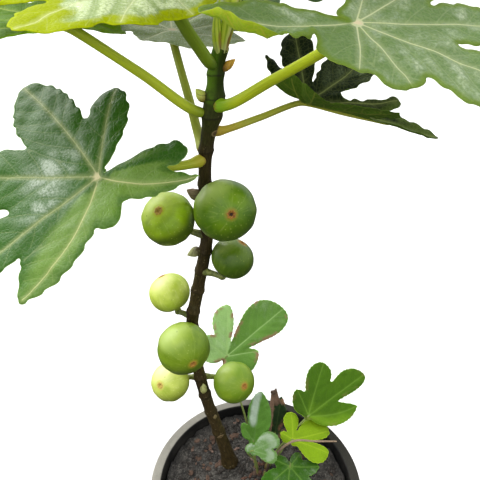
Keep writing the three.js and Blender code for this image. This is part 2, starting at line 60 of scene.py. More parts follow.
# One row for each lobe: its angle, reach, bluntness, then the angle and reach of the bay after it.
LOBES = {
    "full": [(-132, .56, 1.6, -110, .40), (-87, .78, 1.7, -65, .48), (-43, .93, 1.7, -22, .50),
             (0, 1.0, 1.7, 22, .50), (43, .93, 1.7, 65, .48), (87, .78, 1.7, 110, .40),
             (132, .56, 1.6, 180, .09)],
    "broad": [(-168, .06, 2, -155, .06), (-128, .62, 1.6, -107, .43), (-84, 1.02, 1.3, -61, .58),
              (-42, .98, 1.6, -20, .58), (0, .98, 1.6, 13, .62), (27, .82, 1.0, 62, .32),
              (76, .35, 1.5, 97, .24), (139, .62, .8, 146, .40), (158, .53, 2.4, 175, .04)],
    "reaching": [(-154, .58, 2.6, -151, .62), (-142, .83, 1.65, -106, .32), (-66, .42, 2.2, -54, .43),
                 (-34, .52, 2.4, -24, .50), (4, 1.0, 1.9, 20, .54), (38, .92, 1.7, 56, .50),
                 (76, .80, 1.7, 94, .40), (106, .52, 1.3, 134, .17), (152, .13, 2, 202, .05)],
    "keeled": [(-116, .31, 1.6, -99, .28), (-82, .50, 1.7, -62, .38), (-40, .80, 1.7, -20, .50),
               (0, 1.0, 1.6, 10, .55), (17, .71, 2.4, 20.5, .27), (26, .27, 2, 31, .26),
               (60, .70, 2.2, 91, .18), (115, .67, 1.9, 133, .34), (138, .58, 1.2, 160, .08)],
    "lapped": [(-122, .67, .9, -100, .50), (-80, .78, 1.7, -62, .48), (-43, .93, 1.7, -22, .50),
               (0, 1.0, 1.7, 22, .50), (43, .93, 1.7, 65, .48), (84, .70, 1.7, 108, .34),
               (134, .36, 1.7, 182, .33)],
    "spread": [(-138, .52, 1.6, -112, .38), (-87, .78, 1.7, -65, .48), (-43, .93, 1.7, -22, .50),
               (0, 1.0, 1.7, 22, .50), (43, .93, 1.7, 65, .48), (84, .72, 1.7, 106, .36),
               (176, .57, .8, 204, .34)],
    "upper": [(-132, .56, 1.6, -110, .40), (-87, .78, 1.7, -65, .48), (-43, .93, 1.7, -22, .50),
              (0, 1.0, 1.7, 16, .60), (34, .92, 1.5, 57, .63), (62, .64, 1.3, 84, .44),
              (104, .42, 1.8, 180, .09)],
    "tall": [(-39, .46, 1.4, -27, .34), (-6, 1.13, 2.4, 26, .22), (41, .78, 1.6, 72, .36),
             (96, .42, 1.5, 180, .08)],
    "stepped": [(-25, .68, 1.0, -11, .46), (-2, 1.0, 2.2, 16, .57), (32, .77, 1.8, 56, .32),
                (73, .37, 1.2, 140, .08), (200, .06, 2, 265, .05)],
    "paired": [(-92, .14, 1.5, -63, .18), (-18, .97, 2.3, -2, .16), (15, 1.03, 2.1, 65, .28),
               (91, .73, 2.2, 121, .26), (150, .36, 1.5, 215, .10)],
    "mitten": [(-60, .20, 1.4, -50, .22), (0, .96, 1.3, 24, .30), (52, .36, 1.3, 100, .10)],
    "narrow": [(-50, .14, 1.4, -34, .16), (4, .74, 1.1, 40, .20), (80, .16, 1.4, 190, .08)],
    "cleft": [(-96, .15, 1.5, -58, .20), (-24, .84, 2.2, -6, .70), (13, 1.0, 2.0, 60, .20),
              (150, .26, 1.5, 215, .10)],
    "small": [(-108, .36, 1.4, -80, .28), (-44, .80, 1.5, -23, .46), (0, 1.0, 1.5, 23, .46),
              (44, .80, 1.5, 66, .44), (92, .62, 1.4, 122, .30), (146, .36, 1.4, 190, .08)],
}


def leaf(name, start, joint, heading, pitch, roll, size, lobes, **rest):
    """One leaf: start is its node's level on the stem, or its foot (x, y) in the soil."""
    spec = dict(name=name, start=start, joint=joint, heading=heading, pitch=pitch, roll=roll,
                size=size, lobes=lobes, fold=.1, droop=0, wave=1.5, phase=0, curl=0,
                curl_angle=0, under=.05, sag=.02, stalk=(4.1, 2.7),
                lean=0, merge=0, flap=0, keel=0)
    spec.update(rest)
    return spec


CROWN = [
    leaf("leaf_left_open", 421, (-112, -53, 611), -157, -29, 24, 118, "broad",
         fold=0, droop=.04, wave=.6, phase=.4),
    leaf("leaf_right_near", 464, (42, -83, 714), -25, -18, -17, 100, "reaching",
         fold=.04, wave=1, phase=2, flap=14, under=.14, stalk=(4.1, 3.1)),
    leaf("leaf_right_folded", 443, (34, 37, 633), -14, -11, -2, 104, "keeled",
         fold=.46, droop=-.03, wave=4, phase=5, curl=12, curl_angle=-122, stalk=(2.9, 2.1), keel=66),
    leaf("leaf_back_left", 424, (-71, 67, 679), 100, 9, -3, 92, "lapped",
         fold=.06, droop=-.03, wave=1.5, phase=.2, stalk=(4, 3.3)),
    leaf("leaf_left_low", 456, (-129, -20, 704), 150, 0, 3, 98, "spread",
         fold=.06, wave=2, phase=1.7, sag=.012, stalk=(4.1, 3.3), merge=.5),
    leaf("leaf_left_high", 490, (-66, -44, 728), -160, -1, 10, 104, "upper",
         fold=.04, wave=1.5, phase=3, curl=-6, curl_angle=105, under=.1, stalk=(4.6, 4.1), lean=2,
         merge=.5),
    leaf("leaf_back_right", 540, (-14, 62, 716), 58, 20, 0, 98, "full",
         fold=.15, droop=.22, wave=4, phase=.9),
    leaf("leaf_back", 552, (-26, 78, 778), 88, 12, 0, 92, "full",
         fold=.15, droop=.2, wave=4, phase=2.5),
    leaf("leaf_far_left", 546, (-104, 54, 757), 158, 6, 0, 96, "full",
         fold=.12, droop=.2, wave=4, phase=.1),
    leaf("leaf_right_high", 560, (38, -10, 772), -8, 12, 0, 84, "full",
         fold=.2, droop=.12, wave=3, phase=1.4),
    leaf("leaf_front_high", 566, (-36, -50, 778), -104, 16, 0, 74, "full",
         fold=.2, droop=.1, wave=3, phase=2.2),
]
SHOOT_LEAVES = [
    leaf("shoot_leaf_tall", (0, 42), (-34, 88, 308), 44, 22, -22, 84, "tall", droop=.1),
    leaf("shoot_leaf_right", (14, 33), (64, 58, 240), 38, 8, -20, 94, "stepped", fold=.06),
    leaf("shoot_leaf_young", (15, 28), (44, 34, 227), 2, -5, -18, 45, "paired", fold=.05, droop=.05),
    leaf("shoot_leaf_upright", (1, 33), (-2, 38, 219), 70, 74, 20, 70, "mitten", fold=.15, droop=.05),
    leaf("shoot_leaf_shaded", (10, 45), (25, 58, 208), 60, 66, -10, 66, "narrow", fold=.3, droop=.05),
    leaf("shoot_leaf_pale", (3, 25), (-4, 9, 241), 12, 0, -24, 34, "cleft", droop=.1),
    leaf("shoot_leaf_front", (12, 23), (40, 14, 206), -98, -14, -5, 54, "small", fold=.15, droop=.15),
]
FIGS = [  # name, stem level of the stalk, middle, half width, heading and pitch of the eye
    ("fig_front_upper", 384, (-29, -17, 565), 24, -76, 20),
    ("fig_left_upper", 346, (-76, 2, 546), 22, -116, 48),
    ("fig_right_upper", 306, (-24, 9, 503), 18.5, 20, 58),
    ("fig_left_back", 246, (-87, 42, 440), 20, 140, 58),
    ("fig_front_lower", 232, (-71, -3, 408), 25, -62, -2),
    ("fig_left_lower", 156, (-92, 27, 332), 20.5, -122, 28),
    ("fig_right_lower", 158, (-24, 29, 329), 22, -52, 26),
]
SHOOT_STEM = [(13, 39, 171), (15, 40, 215), (20, 48, 294)]
DRY_STALK = [(12, 18, 171), (18, 20, 208), (42.5, 20, 243), (68, 23, 239), (94, 29, 231)]

# ------------------------------------------------------------------ small maths


def unit(v):
    return v / np.linalg.norm(v)


def towards(heading, pitch):
    """The unit vector at a heading and a pitch above level, both in radians."""
    level = math.cos(pitch)
    return np.array([level * math.cos(heading), level * math.sin(heading), math.sin(pitch)])


def lerp(a, b, t):
    return a + (b - a) * t


def smooth(x, low, high):
    t = np.clip((x - low) / (high - low), 0, 1)
    return t * t * (3 - 2 * t)


def bell(x):
    return np.exp(-np.square(x))


def run_along(line):
    """How far along a line each of its points lies."""
    return np.concatenate([[0], np.cumsum(np.linalg.norm(np.diff(line, axis=0), axis=1))])


def spline(points, count):
    """count + 1 evenly spaced points and tangents on a centripetal Catmull-Rom curve, and its length."""
    p = np.array(points, float)
    p = np.vstack([2 * p[0] - p[1], p, 2 * p[-1] - p[-2]])
    dense = []
    for i in range(1, len(p) - 2):
        d = [max(np.linalg.norm(p[i + k] - p[i + k - 1]), 1e-4) ** 0.5 for k in range(3)]
        t1 = ((p[i] - p[i - 1]) / d[0] - (p[i + 1] - p[i - 1]) / (d[0] + d[1])
              + (p[i + 1] - p[i]) / d[1]) * d[1]
        t2 = ((p[i + 1] - p[i]) / d[1] - (p[i + 2] - p[i]) / (d[1] + d[2])
              + (p[i + 2] - p[i + 1]) / d[2]) * d[1]
        s = np.linspace(0, 1, 40, endpoint=False)[:, None]
        dense.append(p[i] + t1 * s + (-3 * p[i] + 3 * p[i + 1] - 2 * t1 - t2) * s ** 2
                     + (2 * p[i] - 2 * p[i + 1] + t1 + t2) * s ** 3)
    dense = np.vstack(dense + [p[-2][None]])
    run = run_along(dense)
    at = np.linspace(0, run[-1], count + 1)
    place = np.stack([np.interp(at, run, dense[:, k]) for k in range(3)], 1)
    tangent = np.gradient(place, axis=0)
    return place, tangent / np.linalg.norm(tangent, axis=1, keepdims=True), run[-1]


def levels_of(place):
    """How high each place is above the soil."""
    return place[:, 2] - SOIL_LEVEL - GAP


def at_level(points, level):
    """The place on a rising curve at a level above the soil."""
    place, _, _ = spline(points, 600)
    return np.array([np.interp(level, levels_of(place), place[:, k]) for k in range(3)])


def rise(line, levels):
    """A line's places in the frame, from (x, y) and a level above the soil for each."""
    return [(x, y, SOIL_LEVEL + GAP + z) for (x, y), z in zip(line, levels)]


STEM = rise(STEM_LINE, STEM_LEVELS)
TIP = rise(TIP_LINE, TIP_LEVELS)


def fbm(points, scale, octaves, seed):
    """Fractal noise in about -1 to 1 at places in millimetres, with scale the feature size."""
    shift = Vector((seed * 7.3, seed * 3.1, seed * 5.7))
    return np.array([noise.fractal(Vector(p) / scale + shift, 0.6, 2.0, octaves) for p in points])


# ------------------------------------------------------------------ meshes and pieces


def link(obj):
    bpy.context.scene.collection.objects.link(obj)
    return obj


def make(name, verts, faces, material, uv=None, attrs=None, bake=None, replaced=(), smooth_faces=True):
    """A piece on the plant's one body, from places in millimetres. uv and bake are per corner."""
    mesh = bpy.data.meshes.new(name)
    mesh.from_pydata([tuple(v) for v in np.asarray(verts, float) * MM], [], [tuple(f) for f in faces])
    for layer, data in (("Place", uv), ("OFBake", bake)):
        if data is not None:
            mesh.uv_layers.new(name=layer).data.foreach_set("uv", np.asarray(data, np.float32).ravel())
    for key, values in (attrs or {}).items():
        mesh.attributes.new(key, "FLOAT", "POINT").data.foreach_set(
            "value", np.asarray(values, np.float32))
    mesh.materials.append(material)
    mesh.polygons.foreach_set("use_smooth", [smooth_faces] * len(mesh.polygons))
    mesh.update()
    obj = link(bpy.data.objects.new(name, mesh))
    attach(obj, "root")
    if replaced:
        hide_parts(*replaced)
    return obj


def around(sides):
    return np.arange(sides) / sides * 2 * np.pi


def circle(sides, one, other):
    """Unit places round a centre, in the plane of two vectors."""
    turn = around(sides)[:, None]
    return np.cos(turn) * one + np.sin(turn) * other


def band(rows, sides):
    """The quads between rows of points round a centre, and their corner UVs (turn, run)."""
    faces, uv = [], []
    for i in range(rows - 1):
        a, b = i / (rows - 1), (i + 1) / (rows - 1)
        for k in range(sides):
            n = (k + 1) % sides
            faces.append((i * sides + k, i * sides + n, (i + 1) * sides + n, (i + 1) * sides + k))
            uv += [(k / sides, a), ((k + 1) / sides, a), ((k + 1) / sides, b), (k / sides, b)]
    return faces, uv


def closed_band(rows, sides):
    """A band closed by a fan at each end. Its foot and head points follow the rows."""
    faces, uv = band(rows, sides)
    foot, head, last = rows * sides, rows * sides + 1, (rows - 1) * sides
    for k in range(sides):
        n = (k + 1) % sides
        faces += [(foot, n, k), (head, last + k, last + n)]
        uv += [((k + .5) / sides, 0), ((k + 1) / sides, 0), (k / sides, 0)]
        uv += [((k + .5) / sides, 1), (k / sides, 1), ((k + 1) / sides, 1)]
    return faces, uv


def limb(name, place, tangent, radius, material, attrs=None, replaced=()):
    """A closed limb through the places; radius has a row for each place and a column for each side."""
    rings, sides = radius.shape
    side = unit(np.cross(tangent[0], (0.3, 1, 0.1)))
    points = []
    for centre, ahead, reach in zip(place, tangent, radius):
        side = unit(side - ahead * np.dot(side, ahead))
        points.append(centre + circle(sides, side, np.cross(ahead, side)) * reach[:, None])
    points += [place[:1] - tangent[:1] * 0.2, place[-1:] + tangent[-1:] * 0.4]
    faces, uv = closed_band(rings, sides)
    make(name, np.vstack(points), faces, material, uv, attrs, uv, replaced)


def with_ends(values, foot, head):
    """A limb's values for each ring and side in one row, then those of its two end points."""
    return np.concatenate([values.ravel(), [foot, head]])


# ------------------------------------------------------------------ materials


def times(colour, share):
    return tuple(c * share for c in colour)


def lighter(colour, share, added=0.0):
    return tuple(min(1, c * share + added) for c in colour)


class Paint:
    """One node material, painted in coats: each one lies over the body colour so far."""

    def __init__(self, name, body=None):
        self.material = bpy.data.materials.new(name)
        self.material.use_nodes = True
        self.tree = self.material.node_tree
        self.tree.nodes.clear()
        self.shader = self.node("ShaderNodeBsdfPrincipled")
        self.link(self.shader.outputs[0], self.node("ShaderNodeOutputMaterial").inputs[0])
        self.body = body

    def node(self, kind, **settings):
        made = self.tree.nodes.new(kind)
        for key, value in settings.items():
            setattr(made, key, value)
        return made

    def link(self, a, b):
        self.tree.links.new(a, b)

    def put(self, socket, value):
        if isinstance(value, bpy.types.NodeSocket):
            self.link(value, socket)
        elif isinstance(value, (tuple, list)) and len(value) == 3 and socket.type == "RGBA":
            socket.default_value = (*value, 1)
        else:
            socket.default_value = value

    def attr(self, name):
        return self.node("ShaderNodeAttribute", attribute_name=name).outputs["Fac"]

    def place(self):
        return self.node("ShaderNodeTexCoord").outputs["Object"]

    def uv(self):
        return self.node("ShaderNodeUVMap", uv_map="Place").outputs[0]

    def axis(self, vector, index):
        made = self.node("ShaderNodeSeparateXYZ")
        self.link(vector, made.inputs[0])
        return made.outputs[index]

    def scaled(self, vector, scale):
        made = self.node("ShaderNodeMapping")
        self.link(vector, made.inputs[0])
        made.inputs["Scale"].default_value = scale
        return made.outputs[0]

    def math(self, kind, a, b=0.0, clamp=False):
        made = self.node("ShaderNodeMath", operation=kind, use_clamp=clamp)
        self.put(made.inputs[0], a)
        self.put(made.inputs[1], b)
        return made.outputs[0]

    def plus(self, a, b):
        return self.math("ADD", a, b)

    def minus(self, a, b):
        return self.math("SUBTRACT", a, b)

    def times(self, a, b, clamp=False):
        return self.math("MULTIPLY", a, b, clamp)

    def map(self, value, start, end, low=0.0, high=1.0, kind="SMOOTHSTEP"):
        made = self.node("ShaderNodeMapRange", interpolation_type=kind)
        for socket, v in zip(made.inputs[:5], (value, start, end, low, high)):
            self.put(socket, v)
        return made.outputs[0]

    def mix(self, factor, a, b, kind="MIX"):
        made = self.node("ShaderNodeMix", data_type="RGBA", blend_type=kind)
        self.put(made.inputs["Factor"], factor)
        self.put(made.inputs[6], a)
        self.put(made.inputs[7], b)
        return made.outputs[2]

    def cover(self, factor, colour, kind="MIX"):
        """Lays a colour over the body by a share."""
        self.body = self.mix(factor, self.body, colour, kind)

    def coat(self, colour, value, start, end, low=0.0, high=1.0, kind="MIX"):
        """Lays a colour over the body, by a share from low to high while a value runs from start to end."""
        self.cover(self.map(value, start, end, low, high), colour, kind)

    def noise(self, vector, scale, detail, rough=0.55):
        made = self.node("ShaderNodeTexNoise")
        self.link(vector, made.inputs["Vector"])
        for key, v in (("Scale", scale), ("Detail", detail), ("Roughness", rough)):
            made.inputs[key].default_value = v
        return made.outputs[0]

    def cells(self, vector, scale, feature="F1"):
        made = self.node("ShaderNodeTexVoronoi", feature=feature)
        self.link(vector, made.inputs["Vector"])
        made.inputs["Scale"].default_value = scale
        return made.outputs["Distance"]

    def bump(self, height, distance, strength):
        made = self.node("ShaderNodeBump")
        made.inputs["Strength"].default_value = strength
        made.inputs["Distance"].default_value = distance
        self.link(height, made.inputs["Height"])
        return made.outputs[0]

    def finish(self, rough, normal=None, gloss=None):
        self.put(self.shader.inputs["Base Color"], self.body)
        self.put(self.shader.inputs["Roughness"], rough)
        if normal is not None:
            self.link(normal, self.shader.inputs["Normal"])
        if gloss is not None:
            self.shader.inputs["Specular IOR Level"].default_value = gloss
        return self.material


NET_CELL = 3.4  # mm between the finest veins


def leaf_material(name, look):
    """A fig leaf: two tones, pale veins, a fine net between them, its margin and its underside, with painted
    sheen and painted glints where it shines.
    """
    p = Paint(name, look["top"])
    spot, net = p.place(), p.uv()
    main, side, q = p.attr("main_vein"), p.attr("side_vein"), p.attr("share")
    edge, tone, shine, below = p.attr("edge"), p.attr("tone"), p.attr("shine"), p.attr("below")
    scale = look["scale"]
    width = scale * look["width"]
    patch = p.noise(spot, 32, 4, .6)
    cloud = p.noise(spot, 13, 3, .5)
    grain = p.noise(net, 620, 3, .65)
    cell = p.cells(net, 1000 / (NET_CELL * scale), "DISTANCE_TO_EDGE")
    p.coat(look["top2"], p.plus(tone, p.times(p.minus(patch, .5), .7)), .2, .8)
    p.coat((.62, .62, .62), cloud, .35, .68, 0, .45, "MULTIPLY")
    p.coat((.5, .5, .5), grain, .30, .72, .30, 0, "MULTIPLY")
    # painted sheen: a pale reflection that lies in patches on the raised parts between the veins, thickest
    # where the leaf shines
    reach = p.plus(patch, p.times(shine, look["spread"]))
    bloom = p.times(p.map(reach, .46, .66), p.map(side, .6, 3.5, .3, 1))
    bloom = p.times(bloom, p.times(p.map(grain, .35, .65, .35, 1), shine))
    p.cover(p.times(bloom, look["bloom"], clamp=True), look["bloom_colour"])
    # painted glints: fine white specks of reflection where the leaf shines
    if look["spark"]:
        glint_speck = p.map(p.noise(spot, 1000, 3, .7), .54, .68, 0, look["spark"])
        p.cover(p.times(glint_speck, shine, clamp=True), (.80, .86, .80))
    p.coat(look["vein"], cell, .02, .12, look["net"], 0)
    near = p.minus(main, p.map(q, 0, 1, .72 * width, .22 * width, "LINEAR"))
    p.coat(look["vein"], near, 0, 3.2 * scale, .22, 0)
    p.coat(look["vein"], side, .10 * scale, .55 * scale, look["side"], 0)
    p.cover(p.times(p.map(near, -.25, .28, look["main"], 0), p.map(tone, .05, .5, look["main_dark"], 1)),
            look["vein"])
    p.coat(look["joint"], q, .018, .06, .9, 0)
    p.coat(look["rim_colour"], edge, look["rim"] * .35, look["rim"], .9, 0)
    if look["burn"]:
        burnt = p.times(p.map(edge, 1.2, 5.5, 1, 0), p.map(p.noise(spot, 60, 3), .52, .6))
        p.cover(p.times(burnt, look["burn"]), (.24, .13, .07))
    top, p.body = p.body, look["under"]
    p.coat(look["under_vein"], cell, 0, .16, .35, 0)
    p.coat(times(look["under"], .7), patch, .35, .7, 0, .4)
    p.coat(look["under_vein"], side, .2, .8, .55, 0)
    p.coat(look["under_vein"], near, -.1, .5, .9, 0)
    p.body = p.mix(below, top, p.body)
    rough = p.plus(p.map(grain, .3, .7, look["rough"] + .08, look["rough"] - .06), p.times(below, .22))
    rough = p.plus(rough, p.times(bloom, .18 * look["bloom"]))
    if look["glow"]:  # light from behind comes through the thin blade
        p.shader.inputs["Subsurface Weight"].default_value = look["glow"]
        p.shader.inputs["Subsurface Radius"].default_value = (1, 1, .25)
        p.shader.inputs["Subsurface Scale"].default_value = .002
    relief = p.plus(p.map(cell, 0, .2, 0, .6), grain)
    return p.finish(rough, p.bump(relief, .0004, .5), look["gloss"])


def stalk_material(name, colour, foot, head=None):
    """A leaf stalk: its own green, a foot colour, faint lengthwise streaks and pale specks."""
    p = Paint(name, colour)
    spot, run = p.place(), p.axis(p.uv(), 1)
    streak = p.noise(p.scaled(p.uv(), (14, 1.2, 1)), 3, 3)
    p.coat(times(colour, .6), streak, .3, .75, 0, .6)
    p.coat((.42, .46, .16), p.noise(spot, 900, 2), .62, .75, 0, .5)
    p.coat(foot, run, .05, .24, .9, 0)
    if head:
        p.coat(head, run, .8, 1, 0, .8)
    p.cover(p.times(p.map(run, .045, .075, 1, 0), p.map(p.noise(spot, 300, 2), .4, .6)), (.45, .30, .05))
    relief = p.plus(streak, p.times(p.noise(spot, 700, 3), .4))
    return p.finish(p.map(streak, .2, .8, .32, .5), p.bump(relief, .0003, .4), .35)


# ------------------------------------------------------------------ leaves

BAY_FLOOR = .09  # the share of each lobe's flank that lies in the round floor of a bay
FLANK_STEPS = 40
SIDE_VEIN_STEPS = 90  # the most that one side vein may take
# Depth of the teeth, how much the margin wanders, the grid's spacing, how round the fold is at the
# midrib, all in mm, and the random seed of the first leaf.
CROWN_BLADE = dict(tooth=1.5, wander=.35, spacing=2.7, soft=6, first_seed=11)
SHOOT_BLADE = dict(tooth=.7, wander=.2, spacing=2.0, soft=3, first_seed=51)
BESIDE_VEIN = 1.25  # mm from a main vein to the row of places beside it
# A turned-up stretch of margin: where it starts, is full, fades and ends, and the edge it is measured
# from, all in degrees, and its depth in mm.
FLAP = dict(start=-142, full=-129, fade=-124, end=-100, edge=(-141, -104), depth=9.5)


def closed(loop):
    return np.vstack([loop, loop[:1]])


def angles_of(points):
    return np.degrees(np.arctan2(points[:, 1], points[:, 0]))


def outline(rows, size, tooth, wander, rng):
    """The blade's margin, counter-clockwise, with rounded bays and blunt uneven teeth."""
    angles, reaches = [], []
    for i, (angle, reach, blunt, after, after_reach) in enumerate(rows):
        before, before_reach = rows[i - 1][3] - (360 if i == 0 else 0), rows[i - 1][4]
        for start, end, bay, bay_reach in ((1, 0, before, before_reach), (0, 1, after, after_reach)):
            for x in np.linspace(start, end, FLANK_STEPS, endpoint=False):
                flank = min(1, x / (1 - BAY_FLOOR))
                angles.append(lerp(angle, bay, x))
                reaches.append(lerp(bay_reach, reach, (1 - flank ** blunt) ** (1 / blunt)))
    a = np.radians(angles)
    r = np.array(reaches) * size
    plain_loop = closed(np.stack([r * np.cos(a), r * np.sin(a)], 1))
    run = run_along(plain_loop)
    step = .9 * size / 100 + .15
    at = np.linspace(0, run[-1], int(run[-1] / step), endpoint=False)
    loop = np.stack([np.interp(at, run, plain_loop[:, k]) for k in range(2)], 1)
    # soften the outline, but not beside the joint
    reach_in = max(2, int(round(.026 * size / step)))
    kernel = bell(np.arange(-2 * reach_in, 2 * reach_in + 1) / reach_in)
    kernel /= kernel.sum()
    pad = len(kernel) // 2
    soft = np.stack([np.convolve(np.pad(loop[:, k], pad, mode="wrap"), kernel, "valid")
                     for k in range(2)], 1)
    loop = np.where(np.linalg.norm(loop, axis=1)[:, None] < .16 * size, loop, soft)
    tangent = np.roll(loop, -1, 0) - np.roll(loop, 1, 0)
    normal = np.stack([tangent[:, 1], -tangent[:, 0]], 1)
    normal /= np.linalg.norm(normal, axis=1, keepdims=True)
    run = np.arange(len(loop)) * step
    whole = run[-1] + step
    bend = sum(rng.uniform(-1, 1) * np.sin(2 * np.pi * run / whole * k + rng.uniform(0, 6.3)) / k ** .5
               for k in range(3, 22))
    count = max(8, round(whole / (tooth * 8)))
    # each tooth rises slowly and drops away on its side towards the lobe's tip
    beat = (run / whole * count + bend * .25) % 1
    wave = smooth(beat, 0, .62) * (1 - smooth(beat, .72, 1))
    depth = .30 + .70 * np.abs(np.sin(run / whole * np.pi * 9 + bend))
    keep = smooth(np.linalg.norm(loop, axis=1), .12 * size, .3 * size)
    return loop + normal * ((wave - .5) * tooth * depth * keep + bend * wander * keep)[:, None]


def edge_reach(margin):
    """A function that gives the margin's distance from the joint at an angle in degrees."""
    angle = angles_of(margin)
    order = np.argsort(angle)
    angle, reach = angle[order], np.linalg.norm(margin, axis=1)[order]
    return lambda at: np.interp(at, angle, reach, period=360)


# Lobes whose main vein leaves the joint at another angle, and shoulders that have no main vein.
VEIN_STARTS = {"broad": {-168: None, -84: -92, 27: 50, 76: None, 139: 121, 158: None},
               "reaching": {-154: None, -142: -122, 152: None},
               "keeled": {26: None, 60: 56, 138: None},
               "stepped": {-25: -40, 32: 36, 200: None},
               "paired": {-92: None},
               "cleft": {-96: None, 150: None}}


def side_vein(root, forward, way, step, allowed):
    """A side vein that bends towards its lobe's tip, up to the margin or the next lobe."""
    path = [root]
    for _ in range(SIDE_VEIN_STEPS):
        way = unit(way + forward * .034)
        point = path[-1] + way * step
        if not allowed(point):
            break
        path.append(point)
    return np.array(path)


def veins(name, size, reach_at, rng):
    """Main veins, one to each lobe, and the side veins that leave them, as lists of polylines."""
    rows, starts = LOBES[name], VEIN_STARTS.get(name, {})

    def degrees(point):
        return math.degrees(math.atan2(point[1], point[0]))

    def share(point):
        return math.hypot(*point) / reach_at(degrees(point))

    mains, sides = [], []
    for i, (angle, reach, _, after, _) in enumerate(rows):
        before = rows[i - 1][3] - (360 if i == 0 else 0)
        start = starts.get(angle, angle * .95)
        if start is None:
            continue
        first = math.radians(start + rng.uniform(-2, 2))
        last = math.radians(angle)
        length = reach * size
        tip = np.array([math.cos(last), math.sin(last)]) * reach * size * .975
        knee = np.array([math.cos(first), math.sin(first)]) * reach * size * .5
        t = np.linspace(0, 1, max(8, int(length / 1.7)))[:, None]
        line = 2 * t * (1 - t) * knee + t * t * tip
        line = line[[share(p) < .985 for p in line]]
        mains.append(line)

        def allowed(point):
            at = degrees(point)
            return share(point) <= .97 and any(before < at + whole < after for whole in (-360, 0, 360))

        along = .10 * size + rng.uniform(0, .04) * size
        hand = 1
        while along < length * .94:
            k = int(len(line) * along / length)
            if k < 2 or k >= len(line) - 1:
                break
            forward = unit(line[k + 1] - line[k - 1])
            turn = hand * math.radians(rng.uniform(46, 58))
            way = np.array([forward[0] * math.cos(turn) - forward[1] * math.sin(turn),
                            forward[0] * math.sin(turn) + forward[1] * math.cos(turn)])
            path = side_vein(line[k], forward, way, 1.9 * size / 100 + .2, allowed)
            if len(path) > 2:
                sides.append(path)
            hand = -hand
            along += (.075 + rng.uniform(-.012, .02)) * size
    return mains, sides


def distance(points, lines):
    """Distance from each point to the nearest segment of any of the polylines."""
    a = np.vstack([line[:-1] for line in lines])
    b = np.vstack([line[1:] for line in lines])
    d = b - a
    length = np.maximum((d ** 2).sum(1), 1e-9)
    best = np.empty(len(points))
    for i in range(0, len(points), 400):
        part = points[i:i + 400, None, :]
        t = np.clip(((part - a) * d).sum(2) / length, 0, 1)
        best[i:i + 400] = np.sqrt((((part - a) - t[..., None] * d) ** 2).sum(2).min(1))
    return best


def within(points, loop):
    """Which points lie inside a closed loop, by counting the crossings of a ray."""
    hits = np.zeros(len(points), int)
    for (x0, y0), (x1, y1) in zip(loop, np.roll(loop, -1, 0)):
        over = (y0 > points[:, 1]) != (y1 > points[:, 1])
        if over.any():
            hits += over & (points[:, 0] < x0 + (points[:, 1] - y0) * (x1 - x0) / (y1 - y0 or 1e-12))
    return hits % 2 == 1


def leaf_axes(spec):
    h, p, r = (math.radians(spec[k]) for k in ("heading", "pitch", "roll"))
    along = towards(h, p)
    level = np.array([-math.sin(h), math.cos(h), 0])
    normal = np.cross(along, level) * math.cos(r) + level * math.sin(r)
    return along, np.cross(normal, along), normal


def blade_plan(margin, mains, sides, spacing, reach_at, rng):
    """The flat blade's places and its triangles, counter-clockwise, with the veins as creases."""
    verts = [tuple(p) for p in margin]
    edges = [(i, (i + 1) % len(margin)) for i in range(len(margin))]
    joint = len(verts)
    verts.append((0.0, 0.0))
    for line, last in [(line[1:], joint) for line in mains] + [(line, None) for line in sides]:
        for p in line:
            if last is not None:
                edges.append((last, len(verts)))
            last = len(verts)
            verts.append(tuple(p))
    # a row of places on each side of each main vein, and a loose grid between the veins
    loose = []
    for line in mains:
        t = np.gradient(line, axis=0)
        t /= np.linalg.norm(t, axis=1, keepdims=True)
        n = np.stack([-t[:, 1], t[:, 0]], 1)
        loose += [line[3:] + n[3:] * BESIDE_VEIN, line[3:] - n[3:] * BESIDE_VEIN]
    low, high = margin.min(0), margin.max(0)
    gx, gy = np.meshgrid(np.arange(low[0], high[0], spacing), np.arange(low[1], high[1], spacing * .87))
    gx[1::2] += spacing / 2
    grid = np.stack([gx.ravel(), gy.ravel()], 1)
    grid += np.array([[rng.uniform(-.2, .2), rng.uniform(-.2, .2)] for _ in grid]) * spacing
    loose = np.vstack(loose + [grid])
    loose = loose[np.linalg.norm(loose, axis=1) < reach_at(angles_of(loose)) * .995]
    keep = (distance(loose, [closed(margin)]) > 1.0) & (distance(loose, sides) > .8)
    from_main = distance(loose, mains)
    keep &= (from_main > 2.1) | ((from_main > 1.1) & (from_main < 1.3))
    verts += [tuple(p) for p in loose[keep]]
    out, _, tris, _, _, _ = delaunay_2d_cdt([Vector(v) for v in verts], edges, [], 1, 1e-4, True)
    flat = np.array([tuple(v) for v in out])
    tris = np.array([t for t in tris if len(t) == 3])
    tris = tris[within(flat[tris].mean(1), margin)]
    used = sorted({int(i) for i in tris.ravel()})
    index = {old: new for new, old in enumerate(used)}
    flat = flat[used]
    tris = [tuple(index[int(i)] for i in t) for t in tris]
    area = [(flat[b][0] - flat[a][0]) * (flat[c][1] - flat[a][1])
            - (flat[b][1] - flat[a][1]) * (flat[c][0] - flat[a][0]) for a, b, c in tris]
    return flat, [t if s > 0 else t[::-1] for t, s in zip(tris, area)]


